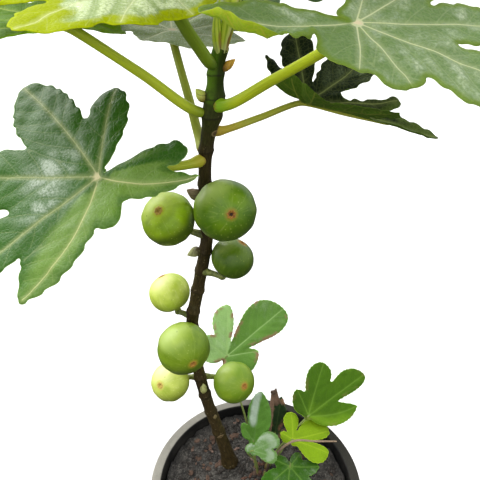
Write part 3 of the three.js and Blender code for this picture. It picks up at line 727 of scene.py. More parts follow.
def blade_height(spec, margin, flat, q, angle, soft, seed):
    """How high the blade stands over its plane: its fold, hang, waves, curl, flap and unevenness."""
    size = spec["size"]
    r = np.linalg.norm(flat, axis=1)
    h = spec["fold"] * (np.hypot(flat[:, 1], soft) - soft) - spec["droop"] * r * r / size
    h += spec["wave"] * q * q * np.sin(5 * angle + spec["phase"])
    facing = np.maximum(0, np.cos(angle - math.radians(spec["curl_angle"])))
    h += spec["curl"] * q ** 3 * facing ** 2
    if spec["flap"]:  # the edge between two spokes, turned up steeply
        along_edge, turn = angles_of(margin), np.degrees(angle)
        near_edge = margin[(along_edge > FLAP["edge"][0]) & (along_edge < FLAP["edge"][1])]
        span = (smooth(turn, FLAP["start"], FLAP["full"]) * (1 - smooth(turn, FLAP["fade"], FLAP["end"]))
                * smooth(q, .25, .5))
        h += spec["flap"] * span * np.clip(1 - distance(flat, [near_edge]) / FLAP["depth"], 0, 1) ** 1.2
    k = size / 100
    flat3 = np.column_stack([flat, np.zeros(len(flat))])
    h += fbm(flat3, 26 * k, 2, seed) * 1.3 * k * smooth(q, 0, .4)
    h += fbm(flat3, 9 * k, 2, seed + 3) * .8 * k * smooth(q, .55, 1)
    return h


def build_leaf(spec, look, seed, kind):
    """A blade: a thin closed sheet, puffed up between grooved veins that stand out below."""
    rng = random.Random(seed)
    size = spec["size"]
    margin = outline(LOBES[spec["lobes"]], size, kind["tooth"], kind["wander"], rng)
    reach_at = edge_reach(margin)
    mains, sides = veins(spec["lobes"], size, reach_at, rng)
    flat, tris = blade_plan(margin, mains, sides, kind["spacing"], reach_at, rng)
    angle = np.arctan2(flat[:, 1], flat[:, 0])
    q = np.clip(np.linalg.norm(flat, axis=1) / reach_at(np.degrees(angle)), 0, 1)
    d_main = distance(flat, mains)
    d_side = np.minimum(distance(flat, sides), d_main)
    d_edge = distance(flat, [closed(margin)])

    h = blade_height(spec, margin, flat, q, angle, kind["soft"], seed)
    k = size / 100
    puff = (1 - bell(d_side / (3.4 * k))) * look["puff"] * k * smooth(d_edge, 0, 5 * k) * smooth(q, .02, .2)
    fade = lerp(1.0, .35, q)
    groove = bell(d_main / (2.2 * k)) * .55 * k * fade
    rib = bell(d_main / (1.5 * k)) * 1.7 * k * fade + bell(np.minimum(d_side, 9) / (.8 * k)) * .5 * k * fade
    thick = lerp(.28, .42, smooth(d_edge, 0, 2))
    top = h + thick / 2 + puff - groove
    bottom = h - thick / 2 + puff * .9 - rib * smooth(d_edge, 0, 3)
    along, left, normal = leaf_axes(spec)
    base = np.array(spec["joint"]) + flat[:, :1] * along + flat[:, 1:] * left
    points = np.vstack([base + top[:, None] * normal, base + bottom[:, None] * normal])

    n = len(flat)
    sides_of = {(a, b): 1 for t in tris for a, b in ((t[0], t[1]), (t[1], t[2]), (t[2], t[0]))}
    rim = [(a, b) for a, b in sides_of if (b, a) not in sides_of]
    under = [tuple(i + n for i in t[::-1]) for t in tris]
    faces = tris + under + [(b, a, a + n, b + n) for a, b in rim]
    # the baked picture has the upper side on its left half and the under side on its right
    low, high = margin.min(0), margin.max(0)
    place = (flat - low) / ((high - low).max() * 1.03)
    uv, bake = [], []
    for f in faces:
        shift = .505 if len(f) == 3 and f[0] >= n else .005
        uv += [tuple(flat[i % n] * MM) for i in f]
        bake += [(place[i % n][0] * .49 + shift, place[i % n][1] * .98 + .01) for i in f]
    fields = dict(main_vein=d_main, side_vein=d_side, share=q, edge=d_edge,
                  tone=look["tone"](np.degrees(angle), q, flat / size),
                  shine=look["shine"](np.degrees(angle), q, flat / size))
    attrs = {key: np.concatenate([v, v]) for key, v in fields.items()}
    attrs["below"] = np.repeat([0.0, 1.0], n)
    make(spec["name"] + "_blade", points, faces, leaf_material(spec["name"] + "_skin", look),
         uv, attrs, bake, [spec["name"]])


def crown_stalk(spec, along, normal):
    """The line of a crown leaf's stalk, from the stem to its joint."""
    joint, start, (_, thin) = np.array(spec["joint"], float), spec["start"], spec["stalk"]
    foot = at_level(TIP if start > TIP_LEVELS[0] else STEM, start)
    reach = joint - foot
    length = np.linalg.norm(reach)
    out = unit(np.array([reach[0], reach[1], 0]))
    enter = joint - along * .06 * length - normal * max(spec["under"] * length, thin + 2)
    leave = lerp(foot, enter, .14) + out * .02 * length
    leave[2] += spec["lean"] - .025 * length
    middle = lerp(foot, enter, .55) - np.array([0, 0, spec["sag"] * length])
    line = [foot, leave, middle, enter]
    if spec["keel"]:  # the midrib stands out below the folded blade
        return line + [joint + along * x - normal * y
                       for x, y in ((3, 2.5), (spec["keel"] / 2, 2.8), (spec["keel"], 1.8))]
    return line + [joint + along * 1.5 - normal * (thin + .7)]


def shoot_stalk(spec, along, normal):
    """The line of a shoot leaf's stalk, from below the soil's face to its joint."""
    joint = np.array(spec["joint"], float)
    foot = np.array([*spec["start"], SOIL_LEVEL - 4])
    middle = lerp(foot, joint, .45)
    middle[2] += .12 * np.linalg.norm(joint - foot)
    return [foot, foot + (0, 0, 10), middle, joint - along * 5 - normal * 2, joint + along * 1.5]


def build_stalk(spec, material, shoot=False):
    rings, sides = 70, 20
    along, _, normal = leaf_axes(spec)
    line = shoot_stalk(spec, along, normal) if shoot else crown_stalk(spec, along, normal)
    thick, thin = (1.5, 1.1) if shoot else spec["stalk"]
    place, tangent, length = spline(line, rings)
    t = np.linspace(0, 1, rings + 1)
    radius = lerp(thick, thin, np.minimum(1, 1.5 * t))
    if not shoot:
        radius += (0 if spec["merge"] else 1.1) * bell((t * length - 7) / 5) + .3 * bell((1 - t) * length / 5)
        radius *= 1 - spec["merge"] * (1 - smooth(t * length, 0, 11))
    if spec["keel"]:
        radius *= 1 - .62 * smooth(t * length, length - spec["keel"] - 4, length)
    radius *= 1 - .35 * smooth(t, .97, 1)
    turn = around(sides)
    ring = radius[:, None] * (1 + .04 * np.cos(2 * turn + 1) + .03 * np.sin(3 * turn + 9 * t[:, None]))
    limb(spec["name"] + "_stalk", place, tangent, ring, material)


# Where a leaf is light (tone; on some leaves painted light or painted shade) and where its painted sheen and
# glints lie (shine), from the angle in degrees, the share of the way to the margin and the place on the blade
# as a share of its size.
def plain_tone(angle, q, flat):
    return np.full(len(q), .1)


def even_shine(angle, q, flat):
    return np.ones(len(q))


def open_tone(angle, q, flat):
    """The open leaf: its lower half, past the vein that runs down and left, is lighter."""
    low = np.maximum(smooth(angle, 2, 30) * (1 - smooth(angle, 148, 158)), smooth(angle, 150, 170) * .55)
    return low * smooth(q, .05, .25) * (1 - .55 * smooth(q, .6, .95))


def glare(flat, x, y, wide, high):
    """A soft patch on the blade, 1 at its middle."""
    return bell((flat[:, 0] - x) / wide) * bell((flat[:, 1] - y) / high)


def open_shine(angle, q, flat):
    """Where the open leaf's painted sheen lies: over the fields round its lobe towards the left, and a little
    above.
    """
    return (1.5 * glare(flat, .20, -.25, .19, .11) + .9 * glare(flat, .36, -.06, .12, .10)
            + .25 * glare(flat, .12, -.62, .2, .1) + .3 * glare(flat, .3, .1, .22, .3))


def keeled_tone(angle, q, flat):
    """The keeled leaf: its near side is light, its far side in shade."""
    return 1 - smooth(flat[:, 1], -.02, .05) + smooth(q, .6, 1) * (1 - smooth(np.abs(angle), 8, 24))


def keeled_shine(angle, q, flat):
    """The keeled leaf shines only at the end of the lobe that points towards the sky."""
    return .08 + .12 * glare(flat, .2, .35, .2, .25) + 2.0 * glare(flat, .33, .50, .10, .12)


def low_tone(angle, q, flat):
    """The low leaf on the left is bright only along the margin that the light comes through."""
    return smooth(q, .5, .75) * np.maximum(smooth(angle, 92, 108), 1 - smooth(angle, -170, -155))


def near_side(angle):
    return smooth(angle, -14, 6) * (1 - smooth(angle, 125, 150))


def high_tone(angle, q, flat):
    """The high leaf on the left: a lime margin on its near side, broadest on its foremost lobe."""
    lobe = smooth(q, .60, .74) * (1 - smooth(angle, 36, 50))
    return np.maximum(lobe, smooth(q, .80, .90)) * near_side(angle)


def high_shine(angle, q, flat):
    """Painted sheen, pale over its middle, with one glaring patch between the two near veins."""
    return ((1 - high_tone(angle, q, flat)) * near_side(angle)
            * (1.3 + 3 * glare(flat, .45, .35, .05, .07)))


def leaf_look(top, top2, under, vein, **rest):
    """A leaf's two upper tones, its underside and its veins, and how strong each coat on them is."""
    made = dict(top=top, top2=top2, under=under, vein=vein, joint=vein,
                under_vein=(.36, .42, .14), rim=.7, rim_colour=lighter(top2, 1.3, .01),
                bloom=.25, bloom_colour=(.42, .48, .36), spread=0, spark=0, burn=0, glow=0,
                net=.06, side=.22, main=.85, main_dark=1, width=1, scale=1, puff=.9,
                rough=.42, gloss=.22, tone=plain_tone, shine=even_shine)
    made.update(rest)
    return made


LOOKS = {
    "leaf_left_open": leaf_look(
        (.036, .135, .005), (.17, .31, .045), (.20, .29, .10), (.58, .60, .26), joint=(.66, .60, .33),
        bloom=1.0, bloom_colour=(.46, .54, .42), rough=.36, tone=open_tone, shine=open_shine,
        puff=.8, side=.10, net=.03, rim=.5, main=.8, main_dark=.28, width=.7, spread=.09, spark=.22),
    # Its bright lime underside and under veins are partly painted light, for the light that comes through the
    # blade from behind.
    "leaf_right_near": leaf_look(
        (.14, .235, .065), (.25, .36, .13), (.46, .74, .06), (.56, .60, .34), joint=(.66, .56, .36),
        bloom=.75, bloom_colour=(.50, .56, .42), rim=4.4, rim_colour=(.12, .20, .012), rough=.46,
        side=.12, width=.6, glow=.5, under_vein=(.7, .75, .12)),
    # Its near-black upper colour is painted shade over the far side of the fold; its near side takes the
    # lighter second tone.
    "leaf_right_folded": leaf_look(
        (.008, .018, .002), (.060, .095, .012), (.12, .235, .022), (.20, .24, .07), joint=(.40, .30, .07),
        bloom=.9, bloom_colour=(.25, .32, .15), tone=keeled_tone, shine=keeled_shine, rough=.6, gloss=.06,
        main=.6, side=.12, spread=.12, net=.12, under_vein=(.30, .38, .06)),
    "leaf_back_left": leaf_look(
        (.30, .40, .16), (.44, .52, .26), (.34, .42, .18), (.62, .64, .40), joint=(.70, .54, .36),
        bloom=.8, bloom_colour=(.62, .68, .52), rough=.48, spark=.75, under_vein=(.48, .54, .28)),
    "leaf_left_low": leaf_look(
        (.10, .22, .008), (.33, .62, .005), (.18, .32, .02), (.32, .42, .08), tone=low_tone,
        bloom=0, gloss=.03),
    "leaf_left_high": leaf_look(
        (.26, .38, .10), (.38, .46, .003), (.55, .64, .03), (.70, .74, .42), spread=.25, bloom=1.0,
        bloom_colour=(.55, .64, .35), rim=1.5, rim_colour=(.38, .46, .003), tone=high_tone,
        shine=high_shine, rough=.5, gloss=.02, side=.08, main=.4, net=.03, spark=.3),
    "leaf_front_high": leaf_look((.10, .20, .025), (.18, .30, .04), (.24, .34, .08), (.48, .54, .18)),
    "shoot_leaf_tall": leaf_look(
        (.10, .24, .022), (.30, .52, .15), (.26, .40, .16), (.28, .44, .14), burn=.9, scale=.6, side=.1,
        tone=lambda angle, q, flat: .12 + .88 * smooth(angle, 16, 34) * (1 - .4 * smooth(q, .7, 1))),
    "shoot_leaf_right": leaf_look(
        (.050, .130, .001), (.15, .30, .008), (.15, .26, .05), (.15, .28, .03), burn=.25, scale=.6,
        bloom=0, gloss=.1, side=.1, main=.4,
        tone=lambda angle, q, flat: .2 + .5 * smooth(-angle, 20, 60) + .3 * (1 - smooth(q, .1, .5))),
    "shoot_leaf_young": leaf_look(
        (.24, .41, .006), (.34, .50, .015), (.36, .50, .07), (.33, .48, .02), scale=.5, puff=1.1,
        bloom=0, side=.1, gloss=.12),
    # Its pale second tone is a painted highlight: a whitish band down the middle of the blade.
    "shoot_leaf_upright": leaf_look(
        (.105, .26, .030), (.50, .64, .48), (.22, .36, .13), (.16, .30, .08), scale=.5, main=.3,
        side=.1, bloom=0, rim_colour=(.10, .24, .04),
        tone=lambda angle, q, flat: bell((flat[:, 1] - .05) / .075) * smooth(flat[:, 0], .15, .45)),
    "shoot_leaf_shaded": leaf_look(
        (.014, .042, .008), (.028, .065, .012), (.05, .09, .02), (.05, .09, .02), burn=1.0, scale=.5),
    # Its pale second tone, partway out to the margin, is a painted highlight, with painted sheen over it.
    "shoot_leaf_pale": leaf_look(
        (.13, .27, .055), (.46, .56, .42), (.30, .42, .22), (.24, .38, .16), scale=.4, bloom=.55,
        bloom_colour=(.5, .60, .48), side=.1, main=.4, rim_colour=(.16, .32, .08),
        tone=lambda angle, q, flat: .50 * smooth(q, .35, .7) * (1 - .9 * smooth(q, .84, .97))),
    "shoot_leaf_front": leaf_look(
        (.040, .135, .006), (.10, .24, .02), (.18, .28, .10), (.16, .30, .05), scale=.6, side=.1,
        main=.45, gloss=.1, bloom=.5),
}
for high in ("leaf_back_right", "leaf_back", "leaf_far_left", "leaf_right_high"):
    LOOKS[high] = leaf_look((.040, .105, .018), (.10, .19, .035), (.17, .26, .09), (.46, .50, .20),
                            rough=.40, gloss=.3)
STALKS = {
    "leaf_left_open": stalk_material("stalk_yellow", (.54, .61, .04), (.56, .50, .04)),
    "leaf_right_near": stalk_material("stalk_lime", (.80, .95, .025), (.28, .60, .02)),
    "leaf_right_folded": stalk_material("stalk_ochre", (.58, .60, .060), (.64, .46, .04)),
    "leaf_back_left": stalk_material("stalk_olive", (.46, .54, .05), (.66, .72, .18)),
    "leaf_left_low": stalk_material("stalk_left", (.76, .90, .04), (.26, .36, .02)),
    "leaf_left_high": stalk_material("stalk_deep", (.28, .42, .02), (.06, .13, .01), (.42, .56, .03)),
}
stalk_young = stalk_material("stalk_young", (.22, .32, .04), (.16, .24, .03))
stalk_shoot = stalk_material("stalk_shoot", (.20, .26, .06), (.22, .15, .06))
for seed, spec in enumerate(CROWN, CROWN_BLADE["first_seed"]):
    build_leaf(spec, LOOKS[spec["name"]], seed, CROWN_BLADE)
    build_stalk(spec, STALKS.get(spec["name"], stalk_young))
for seed, spec in enumerate(SHOOT_LEAVES, SHOOT_BLADE["first_seed"]):
    build_leaf(spec, LOOKS[spec["name"]], seed, SHOOT_BLADE)
    build_stalk(spec, stalk_shoot, shoot=True)

# ------------------------------------------------------------------ stem, tip and bare shoots


def bark_material():
    """Green and smooth at the top, dark brown and ringed below, with pale pores and scars."""
    p = Paint("bark_skin")
    spot, turn = p.place(), p.uv()
    blotch = p.noise(spot, 70, 4, .65)
    streak = p.noise(p.scaled(turn, (10, 24, 1)), 3, 4, .65)
    grain = p.map(streak, .3, .75)
    ring, scar = p.attr("ring"), p.attr("scar")
    level = p.plus(p.axis(spot, 2), p.times(p.minus(blotch, .5), .05))
    # painted light: the fresh green at the top of the stem is lighter on the side that faces the light
    lit = p.map(p.math("COSINE", p.times(p.minus(p.axis(turn, 0), .10), 6.2832)), -.1, .9)
    olive = p.mix(grain, (.035, .045, .006), (.065, .075, .014))
    fresh = p.mix(grain, (.024, .042, .003), (.040, .065, .005))
    fresh = p.mix(lit, fresh, (.13, .26, .012))
    p.body = p.mix(grain, (.024, .016, .004), (.072, .050, .016))
    p.coat((.10, .085, .05), blotch, .55, .75, 0, .5)
    p.coat(olive, level, .595, .640)
    p.coat(fresh, level, .640, .655)
    p.coat((.24, .20, .10), p.cells(p.scaled(turn, (9, 95, 1)), 1), .10, .17, .6, 0)
    p.coat((.012, .012, .004), p.noise(spot, 520, 2), .66, .74, 0, .7)
    p.coat((.016, .012, .005), ring, .25, .9, 0, .6)
    p.coat((.30, .22, .11), scar, .35, .6, 0, .85)
    p.coat((.08, .05, .02), scar, .8, .95, 0, .8)
    relief = p.plus(streak, p.times(p.noise(spot, 600, 4, .7), .7))
    return p.finish(p.map(streak, .3, .75, .5, .7), p.bump(relief, .0006, .6), .2)


NODE_SWELL = .8
SCARS = [(62, 2.2), (97, 5.0), (128, .6), (178, 3.6), (254, 4.4), (282, 5.9), (330, 4.0), (372, 1.2),
         (398, 4.55), (446, 2.8)]  # level and turn of each leaf scar


def stem_radius(t, level):
    taper = lerp(7.2, 5.3, np.minimum(1, t * 1.6))
    flare = 3.4 * np.exp(-np.maximum(0, level) / 12)
    swell = np.max([bell((level - node) / 3.6) for node in STEM_NODES], axis=0)
    return taper + flare + NODE_SWELL * swell + 2.2 * bell((level - 462) / 16)


def build_stem():
    rings, sides = 470, 56
    place, tangent, _ = spline(STEM, rings)
    level = levels_of(place)
    keep = level > -1.5
    place, tangent, level = place[keep], tangent[keep], level[keep]
    t = np.linspace(0, 1, rings + 1)[keep]
    turn = around(sides)
    high = level[:, None]
    wavy = high + 1.1 * np.sin(turn + high / 60) * np.ones((1, sides))
    ring, scar = np.zeros_like(wavy), np.zeros_like(wavy)
    for i, node in enumerate(STEM_NODES):
        ring = np.maximum(ring, bell((wavy - node - .9 * math.sin(i * 2.1)) / .9))
    for node, where in SCARS:
        off = (turn - where + np.pi) % (2 * np.pi) - np.pi
        inside = (off * 6.5 / 4.2) ** 2 + ((high + 2 - node) / 3.0) ** 2
        scar = np.maximum(scar, np.clip(1.25 - inside, 0, 1))
    radius = np.repeat(stem_radius(t, level)[:, None], sides, 1)
    radius *= 1 + .035 * np.sin(2 * turn + high / 38) + .02 * np.sin(3 * turn - high / 21)
    radius += ring * .22 - .08 * bell((ring - .5) / .2) + scar * .4
    grain = np.array([[noise.fractal(Vector((math.cos(a) * 2.2, math.sin(a) * 2.2, z / 16)), .7, 2, 4)
                       for a in turn] for z in level])
    radius += grain * .32 * smooth(-level, -440, -330)[:, None] + grain * .12
    attrs = dict(ring=with_ends(ring, 0, 0), scar=with_ends(scar, 0, 0))
    limb("stem_bark", place, tangent, radius, bark_material(), attrs, ["stem"])


def tip_material():
    p = Paint("tip_skin", (.38, .56, .018))
    spot, pleat, roll = p.place(), p.attr("pleat"), p.attr("roll")
    p.coat((.72, .86, .07), pleat, .1, .8)
    p.coat((.70, .74, .20), p.noise(spot, 240, 3), .5, .75, 0, .6)
    p.coat((.10, .18, .01), roll, .02, .16, .8, 0)
    p.coat((.78, .80, .30), roll, .90, .98, 0, .7)
    p.coat((.66, .68, .30), p.attr("foot"), 505, 512, .6, 0)
    p.coat((.34, .17, .04), p.attr("husk"), .3, .8, 0, .75)
    return p.finish(p.map(pleat, 0, 1, .38, .55), p.bump(p.noise(spot, 500, 3), .0004, .5))


def scroll(name, line, radii, lap, material, replaced=()):
    """A young leaf rolled on itself: a pleated tube whose outer edge laps over the roll."""
    rings, sides = 110, 72
    place, tangent, _ = spline([(x, y, SOIL_LEVEL + GAP + z) for x, y, z in line], rings)
    t = np.linspace(0, 1, rings + 1)[:, None]
    level = levels_of(place)
    mean = np.interp(level, [p[2] for p in line], radii)[:, None]
    turn = (np.arange(sides) / sides)[None]
    roll = (turn - lap - .16 * t) % 1
    pleat = np.abs(np.sin(np.pi * 7 * turn + 2.4 * t))
    # warm brown where the old sheath clings to the right side of the roll's foot
    husk = bell((turn - .42) / .09) * bell((level[:, None] - 511) / 9)
    fields = dict(pleat=pleat, roll=roll, husk=husk, foot=np.repeat(level[:, None], sides, 1))
    attrs = {key: with_ends(v, v[0, 0], v[-1, 0]) for key, v in fields.items()}
    limb(name, place, tangent, mean * (.86 + .20 * roll + .07 * pleat), material,
         attrs, replaced)


def build_tip():
    """The growing tip: pleated young leaves rolled into points, a small one beside the large."""
    material = tip_material()
    line = [(-29, 1.6, 503), (-27.6, .3, 512), (-25.4, -1, 521), (-23.2, -2.6, 531), (-19.6, -3.2, 560),
            (-15, -4, 592)]
    scroll("stem_tip_bud", line, (2.7, 3.7, 4.7, 5.8, 5.0, 1.2), .34, material, ["stem_tip"])
    line = [(-32.4, .8, 502), (-33.4, -.4, 509), (-33.6, -1.4, 517), (-33.0, -2.2, 526), (-31, -3, 537)]
    scroll("tip_side_bud", line, (1.9, 3.1, 3.2, 2.4, .4), .62, material)


BUDS = [  # name, level of its foot, compass side of the stem, length, width, pitch, foot and tip colours
    ("bud_right_node", 490, -8, 11.5, 6.6, 40, (.22, .11, .02), (.85, .48, .05)),
    ("bud_left_node", 468, 190, 10.5, 8.6, 52, (.24, .17, .03), (.80, .88, .16)),
    ("bud_dry", 386, 200, 14, 10, 38, (.06, .04, .02), (.34, .24, .15)),
    ("bud_pale_left", 331, 190, 12, 9.5, -22, (.08, .06, .02), (.40, .42, .17)),
    ("bud_pale_upper", 186, -100, 13, 7, 74, (.20, .20, .07), (.50, .53, .22)),
    ("bud_pale_right", 137, -84, 16, 8, 76, (.42, .42, .12), (.56, .58, .22)),
    ("bud_low", 92, -60, 8, 6, 62, (.06, .05, .02), (.20, .15, .06)),
]


def bud_material(name, foot, tip):
    p = Paint(name + "_skin", foot)
    spot = p.place()
    fine = p.noise(spot, 500, 3)
    p.coat(tip, p.axis(p.uv(), 1), .1, .8)
    p.coat(times(foot, .35), p.attr("pleat"), 0, .35, .7, 0)
    p.coat(times(tip, 1.3), fine, .5, .75, 0, .5)
    return p.finish(p.map(fine, .3, .7, .45, .65), p.bump(p.noise(spot, 700, 3), .0003, .5))


def build_bud(name, level, heading, length, width, pitch, foot, tip):
    """A small scaly bud at a node, of overlapping scales round a pointed core."""
    rings, sides = 34, 30
    h = math.radians(heading)
    axis = towards(h, math.radians(pitch))
    start = at_level(STEM, level) + towards(h, 0) * (stem_radius(.5, level) - 1.6) - axis * length * .1
    t = np.linspace(0, 1, rings + 1)[:, None]
    profile = width / 2 * np.sin(np.pi * np.clip(t * .92 + .06, 0, 1)) ** .75 * (1 - .45 * t)
    scales = np.abs(np.sin(1.5 * around(sides) + 5.2 * t + h))
    limb(name, start + t * axis * length * 1.1, np.repeat(axis[None], rings + 1, 0),
         profile * (1.06 + .13 * smooth(scales, .1, .5)) + .05, bud_material(name, foot, tip),
         dict(pleat=with_ends(scales, 1, 1)))


def shoot_bark_material():
    p = Paint("shoot_bark", (.10, .055, .032))
    spot, run = p.place(), p.axis(p.uv(), 1)
    streak = p.noise(p.scaled(p.uv(), (8, 10, 1)), 3, 4)
    p.coat((.26, .155, .095), streak, .3, .7)
    p.coat((.06, .035, .018), run, 0, .35, .6, 0)
    p.coat((.34, .24, .16), p.noise(spot, 260, 3), .6, .7, 0, .7)
    p.coat((.05, .028, .016), run, .93, .99, 0, .9)
    return p.finish(.8, p.bump(streak, .0008, .8))


def straw_material():
    p = Paint("straw_skin", (.16, .10, .06))
    grain = p.noise(p.scaled(p.uv(), (6, 16, 1)), 3, 4)
    p.coat((.42, .31, .20), grain, .3, .7)
    p.coat((.035, .024, .014), p.axis(p.uv(), 1), .30, .55, .85, 0)
    return p.finish(.75, p.bump(grain, .0005, .7))


def build_shoot_stem(bark):
    """The bare woody shoot: two knobs on its way, and a ragged broken top."""
    rings, sides = 120, 24
    place, tangent, _ = spline(SHOOT_STEM, rings)
    t = np.linspace(0, 1, rings + 1)[:, None]
    turn = around(sides)
    radius = lerp(3.4, 2.3, t) + .9 * bell((t - .42) / .03) + .5 * bell((t - .7) / .02)
    ring = radius * (1 + .08 * np.sin(2 * turn + 7 * t) + .05 * np.sin(5 * turn))
    ring[-4:] *= (1 + .3 * np.sin(3 * turn + 1))[None]
    limb("shoot_stem_bark", place, tangent, ring, bark, replaced=["shoot_stem"])


def build_dry_sheath(bark):
    """The dry curled scrap of old sheath at the bare shoot's top."""
    high, wide = 12, 8
    verts, faces, uv = [], [], []
    for i in range(high + 1):
        for j in range(wide + 1):
            s, a = i / high, j / wide - .5
            reach = (5.2 * (1 - s) + .6) * (1 + .25 * math.sin(9 * a + 3 * s))
            verts.append((22 + reach * a * 1.8 + 3.4 * s * (1 - s) + 4.4 * (1 - s) ** 2,
                          47.5 - 4 * a * a - 1.2 * math.sin(5 * s),
                          272 + 25 * s + 2 * math.sin(7 * a)))
    for i in range(high):
        for j in range(wide):
            k = i * (wide + 1) + j
            faces.append((k, k + 1, k + wide + 2, k + wide + 1))
            uv += [((j + x) / wide, (i + y) / high) for x, y in ((0, 0), (1, 0), (1, 1), (0, 1))]
    sheath = make("shoot_dry_sheath", verts, faces, bark, uv, bake=uv)
    sheath.modifiers.new("thick", "SOLIDIFY").thickness = .0006


def build_dry_stalk():
    rings, sides = 110, 14
    place, tangent, _ = spline(DRY_STALK, rings)
    t = np.linspace(0, 1, rings + 1)[:, None]
    ring = lerp(1.5, .9, t) * (1 + .12 * np.sin(2 * around(sides) + 5 * t))
    limb("dry_stalk_straw", place, tangent, ring, straw_material(), replaced=["dry_stalk"])


build_stem()
build_tip()
for bud in BUDS:
    build_bud(*bud)
shoot_bark = shoot_bark_material()
build_shoot_stem(shoot_bark)
build_dry_sheath(shoot_bark)
build_dry_stalk()

# ------------------------------------------------------------------ figs


def fig_look(dark, lit, pale, bloom_from, bloom, eye=(.46, .22, .03), crumb=None, mouth=.12,
             shade=(.35, -.6, .75, .35)):
    """A fig's shaded and lit sides, its pale ribs, how high up its painted sheen starts and how thick it is.

    Its eye has its own colour, darker crumbs in it and a mouth that may be dark. Its painted lower shade runs
    from one share of the way up to another, with a strength and how deep it is."""
    return dict(dark=dark, lit=lit, pale=pale, bloom_from=bloom_from, bloom=bloom, eye=eye,
                crumb=crumb or times(eye, .62), mouth=mouth, shade=shade)


FIG_LOOKS = {
    "fig_front_upper": fig_look((.085, .205, .003), (.18, .33, .005), (.40, .53, .09), .62, .65,
                                crumb=(.24, .09, .02), mouth=.95),
    "fig_left_upper": fig_look((.24, .43, .006), (.52, .79, .022), (.62, .78, .13), .28, .5,
                               eye=(.56, .34, .05), shade=(.25, -.35, .93, .25)),
    "fig_right_upper": fig_look((.062, .135, .003), (.115, .21, .006), (.24, .34, .04), .7, .5),
    "fig_left_back": fig_look((.46, .61, .050), (.72, .86, .13), (.86, .92, .32), .55, .6),
    "fig_front_lower": fig_look((.15, .27, .008), (.24, .37, .016), (.40, .52, .08), .55, .6),
    "fig_left_lower": fig_look((.43, .56, .055), (.66, .77, .13), (.80, .86, .28), .45, .8,
                               eye=(.66, .46, .10)),
    "fig_right_lower": fig_look((.17, .30, .012), (.22, .34, .014), (.32, .42, .05), .7, .5),
}
FAR = 99  # stands for the distance from the eye, in mm, on the lower half of a fig
SHOULDER = unit(np.array([-.42, -.08, .90]))  # the side the painted sheen faces; the painted lower shade lies away from it
EYE_RIM = ((.150, .872), (.135, .882), (.118, .886), (.100, .880), (.082, .866), (.064, .852),
           (.046, .838), (.028, .828), (.012, .824))  # radius and height, as shares of the half width


def fig_material(name, look):
    p = Paint(name + "_skin", look["dark"])
    spot, up, eye = p.place(), p.attr("up"), p.attr("eye")
    blotch = p.noise(spot, 55, 3)
    fibre = p.noise(p.scaled(p.uv(), (16, 1.4, 1)), 3, 4, .6)
    start, end, share, deep = look["shade"]
    p.coat(look["lit"], blotch, .3, .7)
    p.coat(look["pale"], fibre, .52, .78, 0, .55)
    # painted highlight: a pale sheen on the side of the fig that faces the light
    p.coat(lighter(look["pale"], 1.3, .08), up, look["bloom_from"], 1, 0, look["bloom"])
    # painted shade: the side away from the light is darker
    p.coat(times(look["dark"], deep), up, start, end, 0, share)
    p.cover(p.times(p.map(p.cells(spot, 330), .10, .22, 1, 0), p.map(blotch, .4, .6, .25, .8)), look["pale"])
    p.coat(times(look["dark"], .7), p.cells(spot, 130), .06, .11, .55, 0)
    p.coat(tuple(lerp(a, b, .4) for a, b in zip(look["lit"], look["eye"])), eye, 4.2, 6.4, .75, 0)
    p.coat(look["eye"], eye, 3.0, 4.0, .92, 0)
    p.cover(p.times(p.map(eye, 2.6, 3.4, 1, 0), p.map(p.noise(spot, 900, 3), .42, .6)), look["crumb"])
    p.coat((.028, .012, .006), eye, 1.0, 1.7, look["mouth"], 0)
    rough = p.plus(p.map(fibre, .3, .8, .30, .42), p.map(eye, 2.5, 4.5, .3, 0))
    relief = p.plus(p.times(fibre, .8), p.times(p.noise(spot, 500, 3), .5))
    return p.finish(rough, p.bump(relief, .0004, .35), .38)


def fig_rows():
    """The fig's profile from its stalk to its mouth: radius and height, as shares of its half width."""
    rows = [(lerp(.13, .2, z ** 2), lerp(-1.02, -.90, z)) for z in np.linspace(0, 1, 6)]
    for turn in np.radians(np.linspace(-62, 80, 54)):
        rows.append((math.cos(turn) ** .9, math.sin(turn) * (.95 if turn < 0 else .88)))
    return rows + [(min(r, rows[-1][0]), z) for r, z in EYE_RIM]


def build_fig(name, level, middle, radius, heading, pitch, seed):
    """A fig: a ribbed body of turned rows, with a low raised rim round a small sunken mouth."""
    rng = random.Random(seed)
    middle = np.array(middle)
    axis = towards(math.radians(heading), math.radians(pitch))
    side = unit(np.cross(axis, (0.1, 0.2, 1)))
    sides, rows = 84, fig_rows()
    ring, turn = circle(sides, side, np.cross(axis, side)), around(sides)
    ribs = [(n, rng.uniform(0, 6.3), rng.uniform(.4, 1)) for n in (5, 7, 9, 11, 14)]
    points, eye = [], []
    for r, z in rows:
        body = math.sin(min(1, max(0, (r - .1) / .9)) * math.pi / 2)
        bulge = 1 + body * (.006 * sum(a * np.sin(n * turn + ph) for n, ph, a in ribs)
                            + .018 * np.sin(turn + seed) + .012 * np.sin(2 * turn + seed * 2))
        scales = 1 + .10 * np.cos(7 * turn + seed) * (.03 < r < .16) * (z > .8)
        points.append(middle + ring * (r * radius * bulge * scales)[:, None] + axis * z * radius)
        eye += [r * radius if z > .5 else FAR] * sides
    points = np.vstack(points + [[middle + axis * -1.02 * radius], [middle + axis * .822 * radius]])
    faces, uv = closed_band(len(rows), sides)
    attrs = dict(eye=eye + [FAR, 0], up=(points - middle) @ SHOULDER / radius)
    material = fig_material(name, FIG_LOOKS[name])
    make(name + "_skin", points, faces, material, uv, attrs, uv, [name])
    build_fig_stalk(name, at_level(STEM, level), middle, axis, radius)


